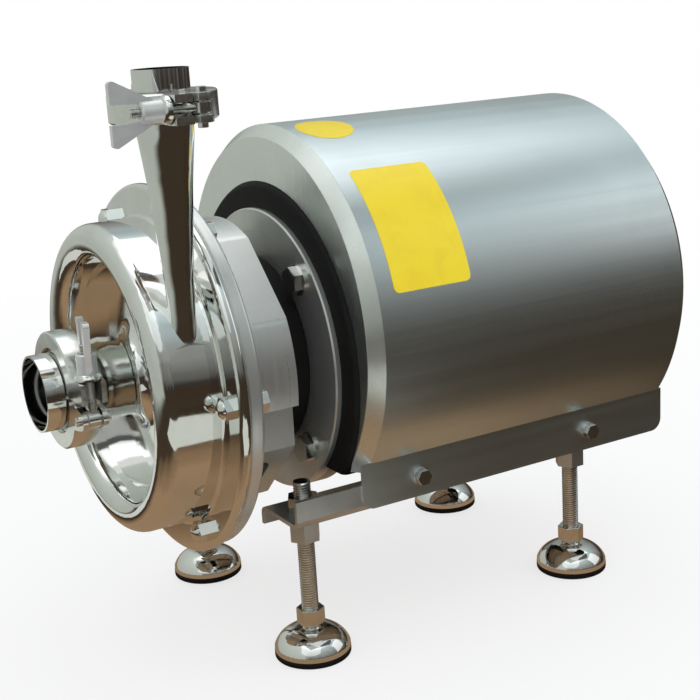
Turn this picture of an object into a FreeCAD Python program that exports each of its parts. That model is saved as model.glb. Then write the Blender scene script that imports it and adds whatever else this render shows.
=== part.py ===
import FreeCAD, Part
import math
import os
from types import SimpleNamespace

import Sketcher

# A sanitary centrifugal pump, close coupled to a shrouded motor on four levelling feet.
# Lengths are in millimetres. X runs along the shaft from the suction mouth towards the motor,
# Z is up, and the origin is the middle of the open suction mouth.

doc = FreeCAD.newDocument("pump")
sheet = doc.addObject("Spreadsheet::Sheet", "sizes")
rows = []
pieces = []


# Sizes that stay bound to the spreadsheet

class Size:
    """A number with its spreadsheet expression, so that sums of sizes stay bound to the cells."""

    def __init__(self, value, text):
        self.value = float(value)
        self.text = text

    def __add__(self, other):
        return combine(self, "+", other)

    def __radd__(self, other):
        return combine(other, "+", self)

    def __sub__(self, other):
        return combine(self, "-", other)

    def __rsub__(self, other):
        return combine(other, "-", self)

    def __mul__(self, other):
        return combine(self, "*", other)

    def __rmul__(self, other):
        return combine(other, "*", self)

    def __truediv__(self, other):
        return combine(self, "/", other)

    def __neg__(self):
        return combine(0, "-", self)


def as_size(number):
    """A plain number as a size, rounded so that its expression stays short."""
    if isinstance(number, Size):
        return number
    return Size(number, f"{round(number, 6):f}")


def combine(left, sign, right):
    """The sum, difference, product or quotient of two sizes."""
    left = as_size(left)
    right = as_size(right)
    value = {
        "+": left.value + right.value,
        "-": left.value - right.value,
        "*": left.value * right.value,
        "/": left.value / right.value if right.value else 0.0,
    }[sign]
    return Size(value, f"({left.text} {sign} {right.text})")


def side(long_side, short_side):
    """The third side of a right-angled triangle."""
    squares = long_side * long_side - short_side * short_side
    return Size(math.sqrt(squares.value), f"sqrt({squares.text})")


def crown(height, reach):
    """The radius of the arc that rises by height over reach and ends square to it."""
    return (height * height + reach * reach) / (2 * height)


def polar(radius, degrees):
    """The point at this radius and angle."""
    angle = math.radians(degrees)
    return (radius * math.cos(angle), radius * math.sin(angle))


def sizes(group, values):
    """Write one cell for each size, and give the group back as an object with the same names."""
    named = {}
    for name, value in values.items():
        rows.append(name)
        alias = f"{group}_{name}"
        sheet.set(f"A{len(rows)}", alias)
        sheet.set(f"B{len(rows)}", str(value))
        sheet.setAlias(f"B{len(rows)}", alias)
        named[name] = Size(value, f"sizes.{alias}")
    return SimpleNamespace(**named)


def bind(item, name, size):
    """Give a property its value, and its expression where the size has one."""
    size = as_size(size)
    item.setExpression(name, size.text)


# Driving dimensions

port_sizes = {
    "suction_tube": 25.5, "suction_rim": 32, "discharge_tube": 16.85, "discharge_rim": 25.25,
    "wall": 1.5, "stub": 20.5, "lip": 2.85, "gasket": 2, "slope": 0.364}
port = sizes("port", port_sizes)
casing_sizes = {
    "length": 71.5, "wall": 3, "neck_round": 14, "recess": 22, "recess_radius": 78,
    "step_radius": 82.5, "step_back": 32, "rim_back": 39, "rim_round": 11, "flange": 8,
    "flange_radius": 126.5, "flange_fillet": 3, "flange_round": 3.5, "bolt_circle": 113.5}
casing = sizes("casing", casing_sizes)
outlet_sizes = {
    "back": 24, "offset": 89, "mouth": 203.5, "straight": 38.5, "taper": 68.5, "cone_low": 78,
    "end": 20, "middle_radius": 13.4, "low_radius": 9, "end_radius": 7.5}
outlet = sizes("outlet", outlet_sizes)
plate_sizes = {
    "register": 2, "register_gap": 0.3, "radius": 108, "thickness": 6, "boss_radius": 34,
    "boss": 19, "pocket_radius": 30, "pocket": 16, "seat_radius": 25, "seat": 6, "shaft_hole": 18,
    "gasket_radius": 103, "gasket": 3}
plate = sizes("plate", plate_sizes)
adapter_sizes = {
    "disc": 10, "disc_radius": 124, "disc_round": 3, "body": 37, "body_radius": 98,
    "side_plane": 88, "ledge": 14, "chamber_radius": 84, "chamber": 33, "neck": 27,
    "neck_radius": 60, "neck_bore": 50, "rear": 8, "rear_radius": 100, "recess_gap": 0.3,
    "window_long": 34, "window_wide": 24, "window_round": 9, "sleeve_radius": 66.5}
adapter = sizes("adapter", adapter_sizes)
screw_sizes = {
    "casing_radius": 4, "casing_flats": 13, "casing_head": 5.3, "nut_height": 6.5, "dome": 3.6,
    "flange_radius": 5, "flange_flats": 17, "flange_head": 6.4, "flange_collar": 10.5,
    "collar": 1.6, "flange_circle": 82.5, "shroud_radius": 3, "shroud_flats": 10, "shroud_head": 4,
    "shroud_washer": 6.2, "washer": 1.6, "foot_radius": 4, "foot_flats": 13, "foot_head": 5.3,
    "hole_play": 0.5}
screw = sizes("screw", screw_sizes)
rotor_sizes = {
    "wheel_radius": 75, "wheel_back": 3, "disc": 3.5, "vane": 11.5, "vane_thick": 3.5,
    "vane_bend": 62, "hub_radius": 20, "shaft_end": 28.5, "thread_radius": 8, "hub_seat": 12,
    "seal_seat": 16, "sleeve_radius": 21, "sleeve": 66, "nut_radius": 16, "nut": 16.5, "play": 0.05,
    "seal_radius": 24, "seal_ring": 6, "wire": 1, "coils": 5, "core_radius": 45, "core": 110,
    "fan_radius": 70, "fan_disc": 2.5, "blade": 16}
rotor = sizes("rotor", rotor_sizes)
motor_sizes = {
    "height": 90, "shaft_radius": 12, "shaft_reach": 50, "spigot_radius": 65, "spigot": 3.5,
    "flange_radius": 100, "flange": 12, "shield": 10, "shield_radius": 90, "bearing_radius": 26,
    "bearing_bore": 12.5, "bearing": 15, "tube_radius": 82, "tube_bore": 74, "core_bore": 46,
    "tube": 162, "fin": 6, "fin_thick": 2.5, "foot_half_span": 70, "foot_first": 56,
    "foot_pitch": 100, "foot_wide": 32, "foot_long": 26, "foot_thick": 10, "shield_bore": 14,
    "box_long": 100, "box_wide": 80, "box_high": 36, "box_seat": 90, "gland_radius": 10,
    "gland": 22}
motor = sizes("motor", motor_sizes)
shroud_sizes = {
    "centre": 19.5, "radius": 137, "sheet": 1.5, "overlap": 1, "length": 271, "bevel": 9,
    "bevel_drop": 8, "tuck": 25, "skirt_bottom": 91, "skirt_front": 1, "skirt_back": 6,
    "skirt_round": 9, "mouth_margin": 19, "plate_bottom": 68, "bolt_first": 47, "bolt_pitch": 147,
    "bolt_height": 77, "louvre_long": 90, "louvre_high": 4, "louvre_pitch": 14}
shroud = sizes("shroud", shroud_sizes)
rail_sizes = {
    "front": 49, "length": 260, "sheet": 3, "inner": 59, "drop": 13, "lip": 16.5, "tall": 24,
    "bend": 3}
rail = sizes("rail", rail_sizes)
foot_sizes = {
    "front": 30.4, "pitch": 228.2, "half_span": 84.5, "rod": 6, "rod_rise": 20, "lock_nut": 10,
    "weld_nut": 18, "flats": 19, "thread_play": 0.06, "collar_top": 70.6, "collar": 11.4,
    "collar_flats": 17, "neck": 5, "ball": 8.5, "ball_drop": 91, "socket_play": 0.06, "mouth": 6.8,
    "bell_top": 85, "bell_crown": 9.5, "bell_radius": 26, "bell_rim": 3, "bell_round": 19,
    "bell_bottom": 100, "pad": 4.5, "pad_radius": 26.2}
foot = sizes("foot", foot_sizes)
clamp_sizes = {
    "width": 17, "rim_wall": 7, "tube_gap": 3, "groove_gap": 0.3, "split": 3, "pin": 3,
    "pin_proud": 3, "pin_play": 0.05, "lever": 6.5, "ear": 8, "eye": 5.5, "lug": 6.5,
    "knuckle": 5.5, "knuckle_wide": 6.4, "knuckle_play": 0.2, "slot_play": 1, "washer_radius": 8.5,
    "washer": 4, "barrel": 13, "barrel_radius": 6.5, "wing": 4, "seat_gap": 0.05}
clamp = sizes("clamp", clamp_sizes)
suction_clamp_own_sizes = {
    "bolt": 4, "drop": 10, "seat": 16, "wing_reach": 14, "wing_length": 34, "wing_root": 6}
suction_clamp_size = sizes("suction_clamp", suction_clamp_own_sizes)
discharge_clamp_own_sizes = {
    "bolt": 3, "drop": 7, "seat": 14, "wing_reach": 18, "wing_length": 30, "wing_root": 6}
discharge_clamp_size = sizes("discharge_clamp", discharge_clamp_own_sizes)
doc.recompute()

neck_face = port.stub + port.gasket
joint = neck_face + casing.length
suction_bore = port.suction_tube - port.wall
discharge_bore = port.discharge_tube - port.wall
disc_back = joint + adapter.disc
body_back = disc_back + adapter.body
neck_back = body_back + adapter.neck
flange_face = neck_back + adapter.rear
outlet_x = joint - outlet.back
outlet.cone_top = outlet.mouth - outlet.straight
outlet.cone_middle = outlet.mouth - outlet.taper
outlet_face = outlet.mouth - port.stub
pipe_face = outlet_face - port.gasket
plate_front = joint - plate.register
plate_back = joint + plate.thickness
shroud.skirt = shroud.radius - shroud.tuck
shroud.mouth_radius = shroud.radius - shroud.mouth_margin
shroud_front = flange_face - shroud.overlap
shroud_back = shroud_front + shroud.length
rail_front = flange_face - rail.front
rail_back = rail_front + rail.length
web_top = -motor.height
web_bottom = web_top - rail.sheet
rail_outer = shroud.skirt - shroud.sheet
foot_places = {
    "front_near": (flange_face - foot.front, -foot.half_span),
    "front_far": (flange_face - foot.front, foot.half_span),
    "rear_near": (flange_face - foot.front + foot.pitch, -foot.half_span),
    "rear_far": (flange_face - foot.front + foot.pitch, foot.half_span),
}


# Ways to make a piece

def circle(across, up, radius):
    """A full circle for a sketch."""
    return SimpleNamespace(across=across, up=up, radius=radius)


def rectangle(left, low, right, high):
    """Four corners of an upright rectangle."""
    return [(left, low), (right, low), (right, high), (left, high)]


def rounded(left, low, right, high, radius):
    """A rectangle with a quarter arc at each corner."""
    return [
        (left + radius, low, radius), (right - radius, low), (right, low + radius, radius),
        (right, high - radius), (right - radius, high, radius), (left + radius, high),
        (left, high - radius, radius), (left, low + radius)]


def hexagon(across, up, flats):
    """The six corners of a hexagon of this width across its flats."""
    reach = flats / math.sqrt(3)
    spokes = [polar(reach, 60 * corner) for corner in range(6)]
    return [(across + spoke[0], up + spoke[1]) for spoke in spokes]


def draw_circle(profile, ring):
    """One bound circle in a sketch."""
    centre = FreeCAD.Vector(as_size(ring.across).value, as_size(ring.up).value, 0)
    edge = Part.Circle(centre, FreeCAD.Vector(0, 0, 1), as_size(ring.radius).value)
    index = profile.addGeometry(edge, False)
    pin_point(profile, index, 3, ring.across, ring.up)
    limit = profile.addConstraint(Sketcher.Constraint("Radius", index, as_size(ring.radius).value))
    bind(profile, f"Constraints[{limit}]", ring.radius)


def pin_point(profile, index, end, across, up):
    """Hold one point of a sketch edge at its two coordinates."""
    for kind, size in (("DistanceX", as_size(across)), ("DistanceY", as_size(up))):
        limit = profile.addConstraint(Sketcher.Constraint(kind, -1, 1, index, end, size.value))
        bind(profile, f"Constraints[{limit}]", size)


def arc_between(start, end, radius):
    """The arc from start to end: a positive radius turns to the left, a negative one to the right."""
    across = end[0] - start[0]
    up = end[1] - start[1]
    chord = math.hypot(across, up)
    rise = math.sqrt(max(radius * radius - chord * chord / 4, 0))
    hand = math.copysign(1, radius)
    centre_x = (start[0] + end[0]) / 2 - hand * up / chord * rise
    centre_y = (start[1] + end[1]) / 2 + hand * across / chord * rise
    first = math.atan2(start[1] - centre_y, start[0] - centre_x)
    last = math.atan2(end[1] - centre_y, end[0] - centre_x)
    if hand < 0:
        first, last = last, first
    whole = Part.Circle(FreeCAD.Vector(centre_x, centre_y, 0), FreeCAD.Vector(0, 0, 1), abs(radius))
    return Part.ArcOfCircle(whole, first, last)


def draw_outline(profile, corners):
    """One closed outline. A corner with a third number ends an arc of that radius."""
    points = [[as_size(part).value for part in corner] for corner in corners]
    ends = []
    for number, start in enumerate(points):
        following = (number + 1) % len(points)
        end = points[following]
        if len(end) == 2:
            line = Part.LineSegment(FreeCAD.Vector(*start[:2], 0), FreeCAD.Vector(*end, 0))
            ends.append((profile.addGeometry(line, False), 1, 2))
            continue
        index = profile.addGeometry(arc_between(start, end, end[2]), False)
        limit = profile.addConstraint(Sketcher.Constraint("Radius", index, abs(end[2])))
        radius = as_size(corners[following][2])
        bind(profile, f"Constraints[{limit}]", radius if end[2] > 0 else -radius)
        ends.append((index, 1, 2) if end[2] > 0 else (index, 2, 1))
    for number, (index, first, last) in enumerate(ends):
        other, other_first, _ = ends[(number + 1) % len(ends)]
        profile.addConstraint(Sketcher.Constraint("Coincident", index, last, other, other_first))
        pin_point(profile, index, first, corners[number][0], corners[number][1])


class Piece:
    """One body, built up by features in the order of the calls."""

    def __init__(self, label):
        self.body = doc.addObject("PartDesign::Body", label)
        self.body.Label = label
        pieces.append(self.body)

    def sketch(self, role, loops, at, turn=0):
        """Closed loops on an origin plane, lifted to a level and turned about the plane's own X."""
        profile = self.body.newObject("Sketcher::SketchObject", "profile")
        base = [feature for feature in self.body.Origin.OriginFeatures if feature.Role == role]
        profile.AttachmentSupport = (base[0], [""])
        profile.MapMode = "FlatFace"
        spin = FreeCAD.Rotation(FreeCAD.Vector(1, 0, 0), turn)
        profile.AttachmentOffset = FreeCAD.Placement(FreeCAD.Vector(), spin)
        for name, size in zip("xyz", at):
            bind(profile, f"AttachmentOffset.Base.{name}", size)
        for loop in loops:
            if isinstance(loop, list):
                draw_outline(profile, loop)
            else:
                draw_circle(profile, loop)
        return profile

    def feature(self, kind, profile):
        """A sketch-based feature that becomes the body's newest state."""
        item = self.body.newObject("PartDesign::" + kind, kind)
        item.Profile = profile
        self.body.Tip = item
        return item

    def turned(self, *loops, at=(0, 0, 0), first=0, sweep=360, cut=False):
        """Turn outlines about the X axis. In them, X is the place along the axis and Y the radius."""
        profile = self.sketch("XY_Plane", loops, at, first)
        item = self.feature("Groove" if cut else "Revolution", profile)
        item.ReferenceAxis = (profile, ["H_Axis"])
        item.Angle = sweep
        return item

    def spun(self, *loops, at=(0, 0, 0), cut=False):
        """Turn outlines about an upright axis. In them, X is the radius and Y the height."""
        profile = self.sketch("XZ_Plane", loops, at)
        item = self.feature("Groove" if cut else "Revolution", profile)
        item.ReferenceAxis = (profile, ["V_Axis"])
        return item

    def block(self, role, *loops, start, end, cut=False):
        """Carry outlines straight from one level of a plane's normal to another."""
        profile = self.sketch(role, loops, (0, 0, end if cut else start))
        item = self.feature("Pocket" if cut else "Pad", profile)
        bind(item, "Length", end - start)
        return item

    def round_the_shaft(self, features, count):
        """Repeat features at equal angles about the shaft."""
        pattern = self.body.newObject("PartDesign::PolarPattern", "ring")
        pattern.Originals = features
        axis = [item for item in self.body.Origin.OriginFeatures if item.Role == "X_Axis"]
        pattern.Axis = (axis[0], [""])
        pattern.Angle = 360
        pattern.Occurrences = count
        self.body.Tip = pattern

    def place(self, position, rotation=None):
        """Put the body at a bound position."""
        put(self.body, position, rotation)


def put(item, position, rotation=None):
    """Bind an object's position, after turning it."""
    item.Placement = FreeCAD.Placement(FreeCAD.Vector(), rotation or FreeCAD.Rotation())
    for name, size in zip("xyz", position):
        bind(item, f"Placement.Base.{name}", size)


def solid(kind, position, rotation=None, **properties):
    """A Part primitive with bound sizes."""
    item = doc.addObject("Part::" + kind, kind.lower())
    for name, size in properties.items():
        bind(item, name, size)
    put(item, position, rotation)
    return item


def hex_bolt(position, rotation, radius, length, flats, head, collar_radius=None, collar=0):
    """A bolt whose head stands on its position and whose shank runs back along its own -Z."""
    shank = solid("Cylinder", (0, 0, -length), Radius=radius, Height=length + collar)
    hexagonal = solid("Prism", (0, 0, collar), Circumradius=flats / math.sqrt(3), Height=head)
    parts = [shank, hexagonal]
    if collar_radius is not None:
        parts.append(solid("Cylinder", (0, 0, 0), Radius=collar_radius, Height=collar))
    bolt = doc.addObject("Part::MultiFuse", "bolt")
    bolt.Shapes = parts
    put(bolt, position, rotation)
    return bolt


def ring(position, rotation, outer, bore, height):
    """A flat ring that stands on its position."""
    disc = solid("Cylinder", (0, 0, 0), Radius=outer, Height=height)
    hole = solid("Cylinder", (0, 0, -1), Radius=bore, Height=height + 2)
    return cut(disc, hole, position, rotation)


def cut(base, tool, position=(0, 0, 0), rotation=None):
    """The base without the tool."""
    item = doc.addObject("Part::Cut", "cut")
    item.Base = base
    item.Tool = tool
    put(item, position, rotation)
    return item


def group(label, items):
    """Separate solids that share one node."""
    item = doc.addObject("Part::Compound", label)
    item.Label = label
    item.Links = items
    pieces.append(item)


along_shaft = FreeCAD.Rotation(FreeCAD.Vector(0, 1, 0), -90)
towards_near = FreeCAD.Rotation(FreeCAD.Vector(1, 0, 0), 90)
towards_far = FreeCAD.Rotation(FreeCAD.Vector(1, 0, 0), -90)
down_the_pipe = FreeCAD.Rotation(FreeCAD.Vector(0, 1, 0), 90)


# Ports

def stub(label, tube, rim):
    """A welding end with its ferrule: open mouth at zero, sealing face at the stub's length."""
    piece = Piece(label)
    lip_back = port.stub - port.lip
    piece.turned([
        (0, tube - port.wall), (0, tube), (lip_back - (rim - tube) * port.slope, tube),
        (lip_back, rim), (port.stub, rim), (port.stub, tube - port.wall)])
    return piece


def port_gasket(label, tube, rim):
    """The flat ring between two ferrules."""
    piece = Piece(label)
    piece.turned(rectangle(0, tube - port.wall, port.gasket, rim - port.wall))
    return piece


def ports():
    stub("suction_ferrule", port.suction_tube, port.suction_rim)
    outlet_stub = stub("discharge_ferrule", port.discharge_tube, port.discharge_rim)
    outlet_stub.place((outlet_x, -outlet.offset, outlet.mouth), down_the_pipe)
    gasket = port_gasket("suction_gasket", port.suction_tube, port.suction_rim)
    gasket.place((port.stub, 0, 0))
    gasket = port_gasket("discharge_gasket", port.discharge_tube, port.discharge_rim)
    gasket.place((outlet_x, -outlet.offset, outlet_face), down_the_pipe)


# Casing

def pump_casing():
    """The bowl, its suction neck and the tangential discharge pipe."""
    piece = Piece("pump_casing")
    lip_back = neck_face + port.lip
    taper = (port.suction_rim - port.suction_tube) * port.slope
    face = joint - casing.recess
    step = joint - casing.step_back
    rim = joint - casing.rim_back
    flange = joint - casing.flange
    barrel = casing.step_radius + 2 * casing.rim_round
    rim_middle = casing.step_radius + casing.rim_round
    fillet = casing.flange_fillet
    edge = casing.flange_round
    corner = casing.neck_round
    piece.turned([
        (neck_face, 0), (neck_face, port.suction_rim), (lip_back, port.suction_rim),
        (lip_back + taper, port.suction_tube), (face - corner, port.suction_tube),
        (face, port.suction_tube + corner, corner), (face, casing.recess_radius),
        (step, casing.recess_radius), (step, casing.step_radius), (rim, casing.step_radius),
        (rim - casing.rim_round, rim_middle, -casing.rim_round),
        (rim, barrel, -casing.rim_round), (flange - fillet, barrel),
        (flange, barrel + fillet, fillet), (flange, casing.flange_radius - edge),
        (flange + edge, casing.flange_radius, -edge), (joint - edge, casing.flange_radius),
        (joint, casing.flange_radius - edge, -edge), (joint, 0)])
    pipe_at = (outlet_x, 0, outlet.offset)
    lip_low = pipe_face - port.lip
    pipe_taper = (port.discharge_rim - port.discharge_tube) * port.slope
    piece.spun([
        (0, pipe_face), (0, outlet.end), (outlet.end_radius, outlet.end),
        (outlet.low_radius, outlet.cone_low), (outlet.middle_radius, outlet.cone_middle),
        (port.discharge_tube, outlet.cone_top), (port.discharge_tube, lip_low - pipe_taper),
        (port.discharge_rim, lip_low), (port.discharge_rim, pipe_face)], at=pipe_at)
    wall = casing.wall
    inner = casing.rim_round - wall
    piece.turned([
        (neck_face, 0), (neck_face, suction_bore), (face + wall - corner, suction_bore),
        (face + wall, suction_bore + corner, corner), (face + wall, casing.recess_radius + wall),
        (step + wall, casing.recess_radius + wall), (step + wall, casing.step_radius + wall),
        (rim, casing.step_radius + wall), (rim - inner, rim_middle, -inner),
        (rim, barrel - wall, -inner), (joint, barrel - wall), (joint, 0)], cut=True)
    thin = port.wall
    piece.spun([
        (0, pipe_face), (0, outlet.end), (outlet.end_radius - thin, outlet.end),
        (outlet.low_radius - thin, outlet.cone_low),
        (outlet.middle_radius - thin, outlet.cone_middle), (discharge_bore, outlet.cone_top),
        (discharge_bore, pipe_face)], at=pipe_at, cut=True)
    hole = piece.block(
        "YZ_Plane", circle(-casing.bolt_circle, 0, screw.casing_radius + screw.hole_play),
        start=flange - 1, end=joint, cut=True)
    piece.round_the_shaft([hole], 6)


def casing_fasteners():
    """Six bolts from behind the lantern's disc, each with a dome nut on the casing flange."""
    bolts = Piece("casing_bolts")
    nut_back = joint - casing.flange
    shank = circle(-casing.bolt_circle, 0, screw.casing_radius)
    head = hexagon(-casing.bolt_circle, 0, screw.casing_flats)
    first = bolts.block("YZ_Plane", shank, start=nut_back - screw.nut_height, end=disc_back)
    second = bolts.block("YZ_Plane", head, start=disc_back, end=disc_back + screw.casing_head)
    bolts.round_the_shaft([first, second], 6)

    nuts = Piece("dome_nuts")
    dome_front = nut_back - screw.nut_height
    dome_reach = screw.casing_flats * 0.46
    body = nuts.block("YZ_Plane", head, start=dome_front, end=nut_back)
    arc = crown(screw.dome, dome_reach)
    dome = nuts.turned(
        [(dome_front - screw.dome, 0), (dome_front, dome_reach, -arc), (dome_front + 1, dome_reach),
         (dome_front + 1, 0)],
        at=(0, -casing.bolt_circle, 0))
    bore = nuts.block(
        "YZ_Plane", circle(-casing.bolt_circle, 0, screw.casing_radius + rotor.play),
        start=dome_front, end=nut_back, cut=True)
    nuts.round_the_shaft([body, dome, bore], 6)


def casing_gasket():
    piece = Piece("casing_gasket")
    piece.turned(rectangle(
        joint, plate.gasket_radius, joint + plate.gasket, plate.gasket_radius + plate.gasket))


def back_plate():
    """The disc that closes the casing, with the seal chamber in its middle."""
    piece = Piece("back_plate")
    register = casing.step_radius + 2 * casing.rim_round - casing.wall - plate.register_gap
    pocket_back = joint + plate.pocket
    seat_back = pocket_back + plate.seat
    boss_back = plate_back + plate.boss
    piece.turned([
        (plate_front, plate.pocket_radius), (plate_front, register), (joint, register),
        (joint, plate.radius), (plate_back, plate.radius), (plate_back, plate.boss_radius),
        (boss_back, plate.boss_radius), (boss_back, plate.shaft_hole),
        (seat_back, plate.shaft_hole), (seat_back, plate.seat_radius),
        (pocket_back, plate.seat_radius), (pocket_back, plate.pocket_radius)])
    piece.turned(rectangle(
        joint, plate.gasket_radius, joint + plate.gasket, plate.gasket_radius + plate.gasket),
        cut=True)


# Lantern between casing and motor

def adapter_body_outline():
    """A circle with four slanting flats, and upright sides below the ledges."""
    radius = adapter.body_radius
    ledge_reach = side(radius, adapter.ledge)
    side_low = -side(radius, adapter.side_plane)
    return [
        (*polar(radius, -64), radius), (adapter.side_plane, side_low),
        (adapter.side_plane, -adapter.ledge),
        (ledge_reach, -adapter.ledge), (*polar(radius, 26), radius), polar(radius, 64),
        (*polar(radius, 116), radius), polar(radius, 154), (-ledge_reach, -adapter.ledge, radius),
        (-adapter.side_plane, -adapter.ledge), (-adapter.side_plane, side_low),
        polar(radius, -116)]


def lantern():
    piece = Piece("adapter")
    edge = adapter.disc_round
    piece.turned([
        (joint, adapter.neck_bore), (joint, adapter.disc_radius - 1),
        (joint + 1, adapter.disc_radius), (disc_back - edge, adapter.disc_radius),
        (disc_back, adapter.disc_radius - edge, -edge), (disc_back, adapter.neck_bore)])
    piece.block("YZ_Plane", adapter_body_outline(), start=disc_back - 1, end=body_back)
    rear_edge = adapter.rear_radius - 1
    piece.turned([
        (body_back - 1, 0), (body_back - 1, adapter.neck_radius),
        (neck_back, adapter.neck_radius), (neck_back, rear_edge),
        (neck_back + 1, adapter.rear_radius), (flange_face, adapter.rear_radius),
        (flange_face, 0)])
    spigot_depth = motor.spigot + 0.5
    piece.turned([
        (joint - 1, 0), (joint - 1, plate.radius + adapter.recess_gap),
        (plate_back, plate.radius + adapter.recess_gap), (plate_back, adapter.chamber_radius),
        (plate_back + adapter.chamber, adapter.chamber_radius),
        (plate_back + adapter.chamber, adapter.neck_bore),
        (flange_face - spigot_depth, adapter.neck_bore),
        (flange_face - spigot_depth, motor.spigot_radius + rotor.play),
        (flange_face, motor.spigot_radius + rotor.play), (flange_face, 0)], cut=True)
    middle = (disc_back + body_back) / 2 - 6
    half_wide = adapter.window_wide / 2
    half_long = adapter.window_long / 2
    for lean in (135, 225):
        profile = piece.sketch(
            "XY_Plane",
            [rounded(middle - half_wide, -half_long, middle + half_wide, half_long,
                     adapter.window_round)],
            (0, 0, 0), lean)
        window = piece.feature("Pocket", profile)
        window.Reversed = True
        bind(window, "Length", adapter.body_radius + 5)
    casing_hole = piece.block(
        "YZ_Plane", circle(-casing.bolt_circle, 0, screw.casing_radius + screw.hole_play),
        start=joint - 1, end=disc_back + 1, cut=True)
    piece.round_the_shaft([casing_hole], 6)
    across, up = polar(screw.flange_circle, 45)
    flange_hole = piece.block(
        "YZ_Plane", circle(across, up, screw.flange_radius + screw.hole_play),
        start=neck_back - 1, end=flange_face + 1, cut=True)
    piece.round_the_shaft([flange_hole], 4)


def splash_ring():
    """The dark sleeve round the lantern's neck."""
    piece = Piece("splash_ring")
    inner = adapter.neck_radius + adapter.recess_gap
    piece.turned([
        (body_back, inner), (body_back, adapter.sleeve_radius - 2),
        (body_back + 2, adapter.sleeve_radius, -2), (neck_back - 2, adapter.sleeve_radius),
        (neck_back, adapter.sleeve_radius - 2, -2), (neck_back, inner)])


def flange_bolts():
    """Four bolts that hold the lantern's rear disc to the motor flange."""
    bolts = []
    for corner in range(4):
        across, up = polar(screw.flange_circle, 45 + 90 * corner)
        bolts.append(hex_bolt(
            (neck_back, across, up), along_shaft, screw.flange_radius,
            adapter.rear + motor.flange - 1, screw.flange_flats, screw.flange_head,
            screw.flange_collar, screw.collar))
    group("flange_bolts", bolts)


# Shaft, wheel and seal

def pump_shaft():
    """The stub shaft, a sleeve over the motor shaft's end."""
    piece = Piece("pump_shaft")
    front = joint - rotor.shaft_end
    hub_front = joint - 16
    shoulder = joint - 1
    sleeve_front = joint + 28
    sleeve_back = joint + rotor.sleeve
    bore_end = flange_face - motor.shaft_reach - 2
    bore = motor.shaft_radius + rotor.play
    piece.turned([
        (front, 0), (front, rotor.thread_radius), (hub_front, rotor.thread_radius),
        (hub_front, rotor.hub_seat), (shoulder, rotor.hub_seat), (shoulder, rotor.seal_seat),
        (sleeve_front, rotor.seal_seat), (sleeve_front, rotor.sleeve_radius),
        (sleeve_back, rotor.sleeve_radius), (sleeve_back, bore), (bore_end, bore),
        (bore_end, 0)])


def impeller():
    """A semi-open wheel with six vanes bent back against the turning direction."""
    piece = Piece("impeller")
    back = joint - rotor.wheel_back
    disc_front = back - rotor.disc
    hub_front = joint - 16
    hub_back = joint - 1
    bore = rotor.hub_seat + rotor.play
    piece.turned([
        (hub_front, bore), (hub_front, rotor.hub_radius - 2),
        (disc_front, rotor.hub_radius + 4), (disc_front, rotor.wheel_radius),
        (back, rotor.wheel_radius), (back, rotor.hub_radius), (hub_back, rotor.hub_radius),
        (hub_back, bore)])
    inner = rotor.hub_radius + 6
    outer = rotor.wheel_radius - 0.5
    bend = rotor.vane_bend
    thick = rotor.vane_thick
    vane = piece.block(
        "YZ_Plane",
        [(inner, 0), (*polar(outer, 58), bend), (*polar(outer, 55),), (inner + thick, -1, -bend)],
        start=disc_front - rotor.vane, end=disc_front + 1)
    piece.round_the_shaft([vane], 6)


def impeller_nut():
    """The smooth cap nut in the eye of the wheel."""
    piece = Piece("impeller_nut")
    back = joint - 16
    front = back - rotor.nut
    bore = rotor.thread_radius + rotor.play
    radius = rotor.nut_radius
    bore_end = joint - rotor.shaft_end - 1
    tip = 3
    nose = radius * 0.7
    arc = crown(radius - tip, nose)
    piece.turned([
        (front, 0), (front, tip), (front + nose, radius, -arc), (back, radius), (back, bore),
        (bore_end, bore), (bore_end, 0)])


def seal():
    """A stationary seat in the plate, and a ring that a spring pushes against it."""
    seat_front = joint + plate.pocket - 1
    seat = Piece("seal_seat")
    seat.turned(rectangle(
        seat_front, rotor.seal_seat + 1.6, seat_front + plate.seat + 1, plate.seat_radius - 0.1))
    ring_back = seat_front - 0.1
    face = Piece("seal_ring")
    inner = rotor.seal_seat + rotor.play
    face.turned(rectangle(ring_back - rotor.seal_ring, inner, ring_back, rotor.seal_radius))
    front = joint - 1
    mean = (rotor.seal_seat + rotor.seal_radius) / 2 - 1
    first = front + rotor.wire
    span = ring_back - rotor.seal_ring - rotor.wire - first
    coils = []
    for turn in range(6):
        item = doc.addObject("Part::Torus", "coil")
        bind(item, "Radius1", mean)
        bind(item, "Radius2", rotor.wire)
        put(item, (first + span * (turn / 5), 0, 0), along_shaft)
        coils.append(item)
    links = []
    for turn in range(5):
        start = first + span * (turn / 5)
        across, up = polar(mean, 72 * turn)
        links.append(solid("Cylinder", (start, across, up), down_the_pipe,
                           Radius=rotor.wire * 0.9, Height=span / 5))
    spring = doc.addObject("Part::MultiFuse", "seal_spring")
    spring.Label = "seal_spring"
    spring.Shapes = coils + links
    pieces.append(spring)


# Motor

bearing_front = flange_face + 4
tube_front = flange_face + motor.flange + motor.shield
tube_back = tube_front + motor.tube
rear_bearing = tube_back - 2 - motor.bearing


def motor_flange():
    piece = Piece("motor_flange")
    shield_back = flange_face + motor.flange + motor.shield
    piece.turned([
        (flange_face - motor.spigot, motor.shield_bore),
        (flange_face - motor.spigot, motor.spigot_radius), (flange_face, motor.spigot_radius),
        (flange_face, motor.flange_radius), (flange_face + motor.flange, motor.flange_radius),
        (flange_face + motor.flange, motor.shield_radius), (shield_back, motor.shield_radius),
        (shield_back, motor.bearing_radius), (bearing_front, motor.bearing_radius),
        (bearing_front, motor.shield_bore)])
    across, up = polar(screw.flange_circle, 45)
    hole = piece.block(
        "YZ_Plane", circle(across, up, screw.flange_radius + rotor.play),
        start=flange_face, end=flange_face + motor.flange, cut=True)
    piece.round_the_shaft([hole], 4)


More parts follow.
